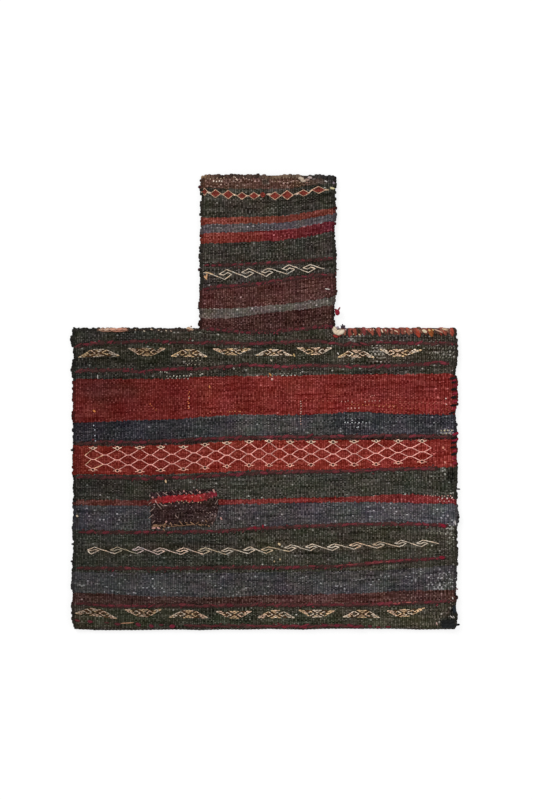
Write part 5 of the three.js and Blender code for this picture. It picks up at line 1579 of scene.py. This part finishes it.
# Shares of ribs, beads and fibre in the relief
RIB_BUMP, BEAD_BUMP, FIBRE_BUMP = 0.4, 0.6, 0.35
# Yarns: turns of the plies for a width of length and round the yarn, brightness, painted shade in the
# grooves, fibre, relief
SPUN_TWIST, BROCADE_TWIST, PLIES, YARN_GAIN = 0.55, 0.4, 2.0, 1.2
GROOVE_SHADE_TONES, YARN_FIBRE, YARN_FIBRE_TONES = (0.5, 1.0), 2200.0, (0.5, 1.5)
YARN_FIBRE_BUMP = 0.4


def weave_wool(name):
    """Weft-faced plain weave: one column of beads for each warp, every other column half a bead lower.

    Each pick shows as beads on every other warp, and its brightness drifts slowly along it. A bead's tone is
    the product of that, its own brightness, a painted highlight on its swell with painted shade at its edges,
    painted light on its rib's crest with painted shade in the rib's valley, and slow patches. It lifts or
    lowers the dye as it looks by the same amount in red, green and blue, less in the last two where the dye
    is red.
    Beads worn to the pale warp lie in rows.
    """
    wool = Surface(name, WOOL_SURFACE)
    across, along = wool.uv("weave")
    warp = wool.calc("FLOOR", across)
    odd = wool.calc("MODULO", warp, 2.0)
    bead_place = wool.calc("MULTIPLY_ADD", along, 0.5, wool.product(odd, 0.5))
    bead = wool.calc("FLOOR", bead_place)
    pick = wool.calc("SUBTRACT", wool.product(bead, 2.0), odd)
    ridge = wool.arch(wool.calc("FRACT", wool.product(across, 0.5)))
    round_bead = wool.calc("POWER", wool.arch(wool.calc("FRACT", across)), BEAD_ROUND)
    swell = wool.product(wool.arch(wool.calc("SUBTRACT", bead_place, bead)), round_bead)
    luck = wool.chance(warp, bead)

    on_bag = wool.on_bag()
    drift = wool.product(across, PICK_DRIFT)
    along_pick = wool.join(drift, wool.product(pick, PICK_STEP))
    pick_luck = wool.calc("SUBTRACT", wool.noise(along_pick, 1.0, 1.0)["Fac"], 0.5)
    fibre = wool.noise(on_bag, FIBRE)["Fac"]
    left_right = wool.vector("DOT_PRODUCT", on_bag, (1, 0, 0))
    flat, bold = to_x(FLAT_END).tolist(), to_x(BOLD_END).tolist()
    # Depth of the painted shade between ribs: weaker on the left, stronger at the right end
    ribs = wool.ramp(left_right, *flat, FLAT_RIB_SHADE * (CREST_LIGHT - VALLEY_SHADE), CREST_LIGHT - VALLEY_SHADE)
    ribs = wool.product(ribs, wool.ramp(left_right, *bold, 1.0, BOLD_RIB_SHADE))
    middle = VALLEY_SHADE + RIDGE_MEAN * (CREST_LIGHT - VALLEY_SHADE)
    # Painted shade in the rib valleys and at the bead edges, painted light on the crests and bead tops, times
    # random tones
    tone = wool.product(
        wool.calc("MULTIPLY_ADD", wool.calc("SUBTRACT", ridge, RIDGE_MEAN), ribs, middle),
        wool.span(swell, JOINT_SHADE, BEAD_TOP_LIGHT),
        wool.span(wool.calc("POWER", luck["Value"], LUCK_CURVE), DULL, BRIGHT),
        wool.calc("MAXIMUM", wool.calc("MULTIPLY_ADD", pick_luck, PICK_SPREAD, 1.0), PICK_DULL),
        wool.span(wool.noise(on_bag, PATCHES, PATCH_DETAIL)["Fac"], *SLOW_TONES),
        wool.span(fibre, *SLOW_TONES),
    )
    tone = wool.calc("POWER", tone, 1 / SCREEN_CURVE)
    lift = wool.product(wool.calc("SUBTRACT", tone, TONE_MIDDLE), TONE_SPAN)
    streak_place = wool.join(wool.product(across, STREAK_ACROSS), wool.product(along, STREAK_ALONG))
    streak = wool.calc("SUBTRACT", wool.noise(streak_place, 1.0, 1.0)["Fac"], 0.5)
    lift = wool.calc("MULTIPLY_ADD", streak, STREAK, lift)
    lift = wool.product(lift, wool.ramp(left_right, *flat, FLAT_TONE, 1.0))
    look = wool.curve(wool.attribute("dye")["Color"], 1 / SCREEN_CURVE)
    slow_hue = wool.hue(wool.noise(on_bag, HUE)["Color"], HUE_SPREAD)
    own_hue = wool.hue(luck["Color"], OWN_HUE_SPREAD)
    dyed = wool.vector("MULTIPLY", wool.vector("MULTIPLY", look, slow_hue), own_hue)
    worn_row = wool.calc("LESS_THAN", wool.chance(pick, wool.calc("FLOOR", drift))["Value"], WORN_ROWS)
    worn = wool.product(wool.attribute("worn")["Fac"], WORN_DENSER, worn_row)
    pale = wool.calc("LESS_THAN", wool.chance(bead, warp)["Value"], worn)
    lift = wool.calc("MULTIPLY_ADD", pale, WORN_LIFT, lift)
    redness = wool.vector("DOT_PRODUCT", dyed, (1, -1, 0))
    other = wool.product(lift, wool.calc("MULTIPLY_ADD", redness, -RED_CALM, 1.0))
    lit = wool.vector("MAXIMUM", wool.vector("ADD", dyed, wool.join(lift, other, other)), (DARKEST,) * 3)
    beads = wool.calc("ADD", wool.product(swell, BEAD_BUMP), wool.product(fibre, FIBRE_BUMP))
    height = wool.calc("ADD", wool.product(ridge, RIB_BUMP), beads)
    return wool.finish(wool.curve(lit, SCREEN_CURVE), height, bump=0.5, depth=0.0005)


def yarn_wool(name, twist):
    """Spun yarn: two plies that turn about each other, with painted shade in the grooves between them, and
    fine fibre.
    """
    wool = Surface(name, WOOL_SURFACE)
    along, around = wool.uv("twist")
    phase = wool.calc("MULTIPLY_ADD", along, twist, wool.product(around, PLIES))
    ply = wool.arch(wool.calc("FRACT", phase))
    fibre = wool.noise(wool.on_bag(), YARN_FIBRE)["Fac"]
    # Painted shade in the grooves between the plies
    groove_shade = wool.span(wool.calc("SQRT", ply), *GROOVE_SHADE_TONES)
    tone = wool.product(groove_shade, wool.span(fibre, *YARN_FIBRE_TONES), YARN_GAIN)
    colour = wool.vector("MULTIPLY", wool.attribute("dye")["Color"], tone)
    height = wool.calc("ADD", ply, wool.product(fibre, YARN_FIBRE_BUMP))
    return wool.finish(colour, height, bump=0.6, depth=0.0004)


# Ground, light and camera

# Lamps: name, place, size and power
LAMPS = [("key", (-1.3, 1.5, 2.2), 1.6, 36), ("fill", (1.9, -0.6, 1.9), 2.0, 12)]


def ground(glow=0.76, half=40.0):
    """A plain white ground that keeps the bag's soft shadow; seen directly it is topped up to white."""
    white = Surface("white_ground", GROUND_SURFACE)
    rays = white.node("ShaderNodeLightPath").outputs
    seen = white.calc("MAXIMUM", rays["Is Camera Ray"], rays["Is Glossy Ray"])
    seen = white.calc("MAXIMUM", seen, rays["Is Transmission Ray"])
    white.feed(white.inputs["Emission Strength"], white.product(seen, glow))
    mesh = bpy.data.meshes.new("floor")
    corners = [(half * x, half * y, 0) for x, y in ((-1, -1), (1, -1), (1, 1), (-1, 1))]
    mesh.from_pydata(corners, [], [(0, 1, 2, 3)])
    mesh.materials.append(white.material)
    floor = add("floor", mesh)


def lights(sky_strength=0.55):
    """A large soft lamp from the upper left, a weaker one from the right, and an even sky."""
    for name, at, size, power in LAMPS:
        lamp = bpy.data.lights.new(name, "AREA")
        lamp.size = size
        lamp.energy = power
        stand = add(name, lamp)
        stand.location = at
        stand.rotation_euler = (-Vector(at)).to_track_quat("-Z", "Y").to_euler()
    world = bpy.data.worlds.new("even_sky")
    world.use_nodes = True
    sky = world.node_tree.nodes["Background"].inputs
    sky["Color"].default_value = WHITE
    sky["Strength"].default_value = sky_strength
    bpy.context.scene.world = world


def camera(lens=100.0, sensor=36.0, face=0.010, far=20):
    """Straight above the bag's face, as far as its lens needs to take in the photograph's long side."""
    eye = bpy.data.cameras.new("camera")
    eye.lens = lens
    eye.sensor_width = sensor
    eye.clip_end = far
    stand = add("camera", eye)
    x, y = place(PHOTO_CENTRE)
    stand.location = (x, y, face + PHOTO_LONG_SIDE * PIXEL * lens / sensor)
    bpy.context.scene.camera = stand


ground()
striped = weave_wool("striped_wool_weave")
spun = yarn_wool("spun_wool", SPUN_TWIST)
brocade = yarn_wool("brocade_wool", BROCADE_TWIST)
woven_cloth(striped)
for part, lines, wraps, seed in (
    ("body", BODY_LINES, BODY_LINE_WRAPS, 200),
    ("neck", NECK_LINES, NECK_LINE_WRAPS, 220),
):
    for number, (line, wrap) in enumerate(zip(lines, wraps), 1):
        torn = line is BODY_LINES[-1]
        name, node = f"{part}_wraps_{number}", f"{part}_line_{number}"
        wrapped_line(name, node, line, wrap, seed + number, torn, spun)
lozenge_net(brocade, seed=21)
for part, scrolls, ends, odd, seed in (
    ("body", BODY_SCROLLS, BODY_SCROLL_ENDS, ODD_SCROLLS, 231),
    ("neck", NECK_SCROLLS, NECK_SCROLL_ENDS, {}, 232),
):
    scroll_chain(f"{part}_scrolls", f"{part}_scroll_chain", scrolls, ends, odd, seed, brocade)
for part, motifs, creams, seed in (
    ("upper", UPPER_MOTIFS, UPPER_CREAMS, 240),
    ("lower", LOWER_MOTIFS, LOWER_CREAMS, 260),
):
    for number, motif in enumerate(motifs, 1):
        name, node = f"{part}_brocade_{number}", f"{part}_motif_{number}"
        triangle_motif(name, node, motif, creams, seed + number, brocade)
diamond_chain(brocade, seed=31)
overcast_edges(spun, seeds=(41, 42, 43, 44, 51, 52, 61))
red_shoulder(spun, seed=71)
repair_patch(striped, seed=83)
patch_stitches(spun, seed=91)
knots(spun, seed=111)
lights()
camera()
bpy.context.scene.view_settings.view_transform = "Standard"
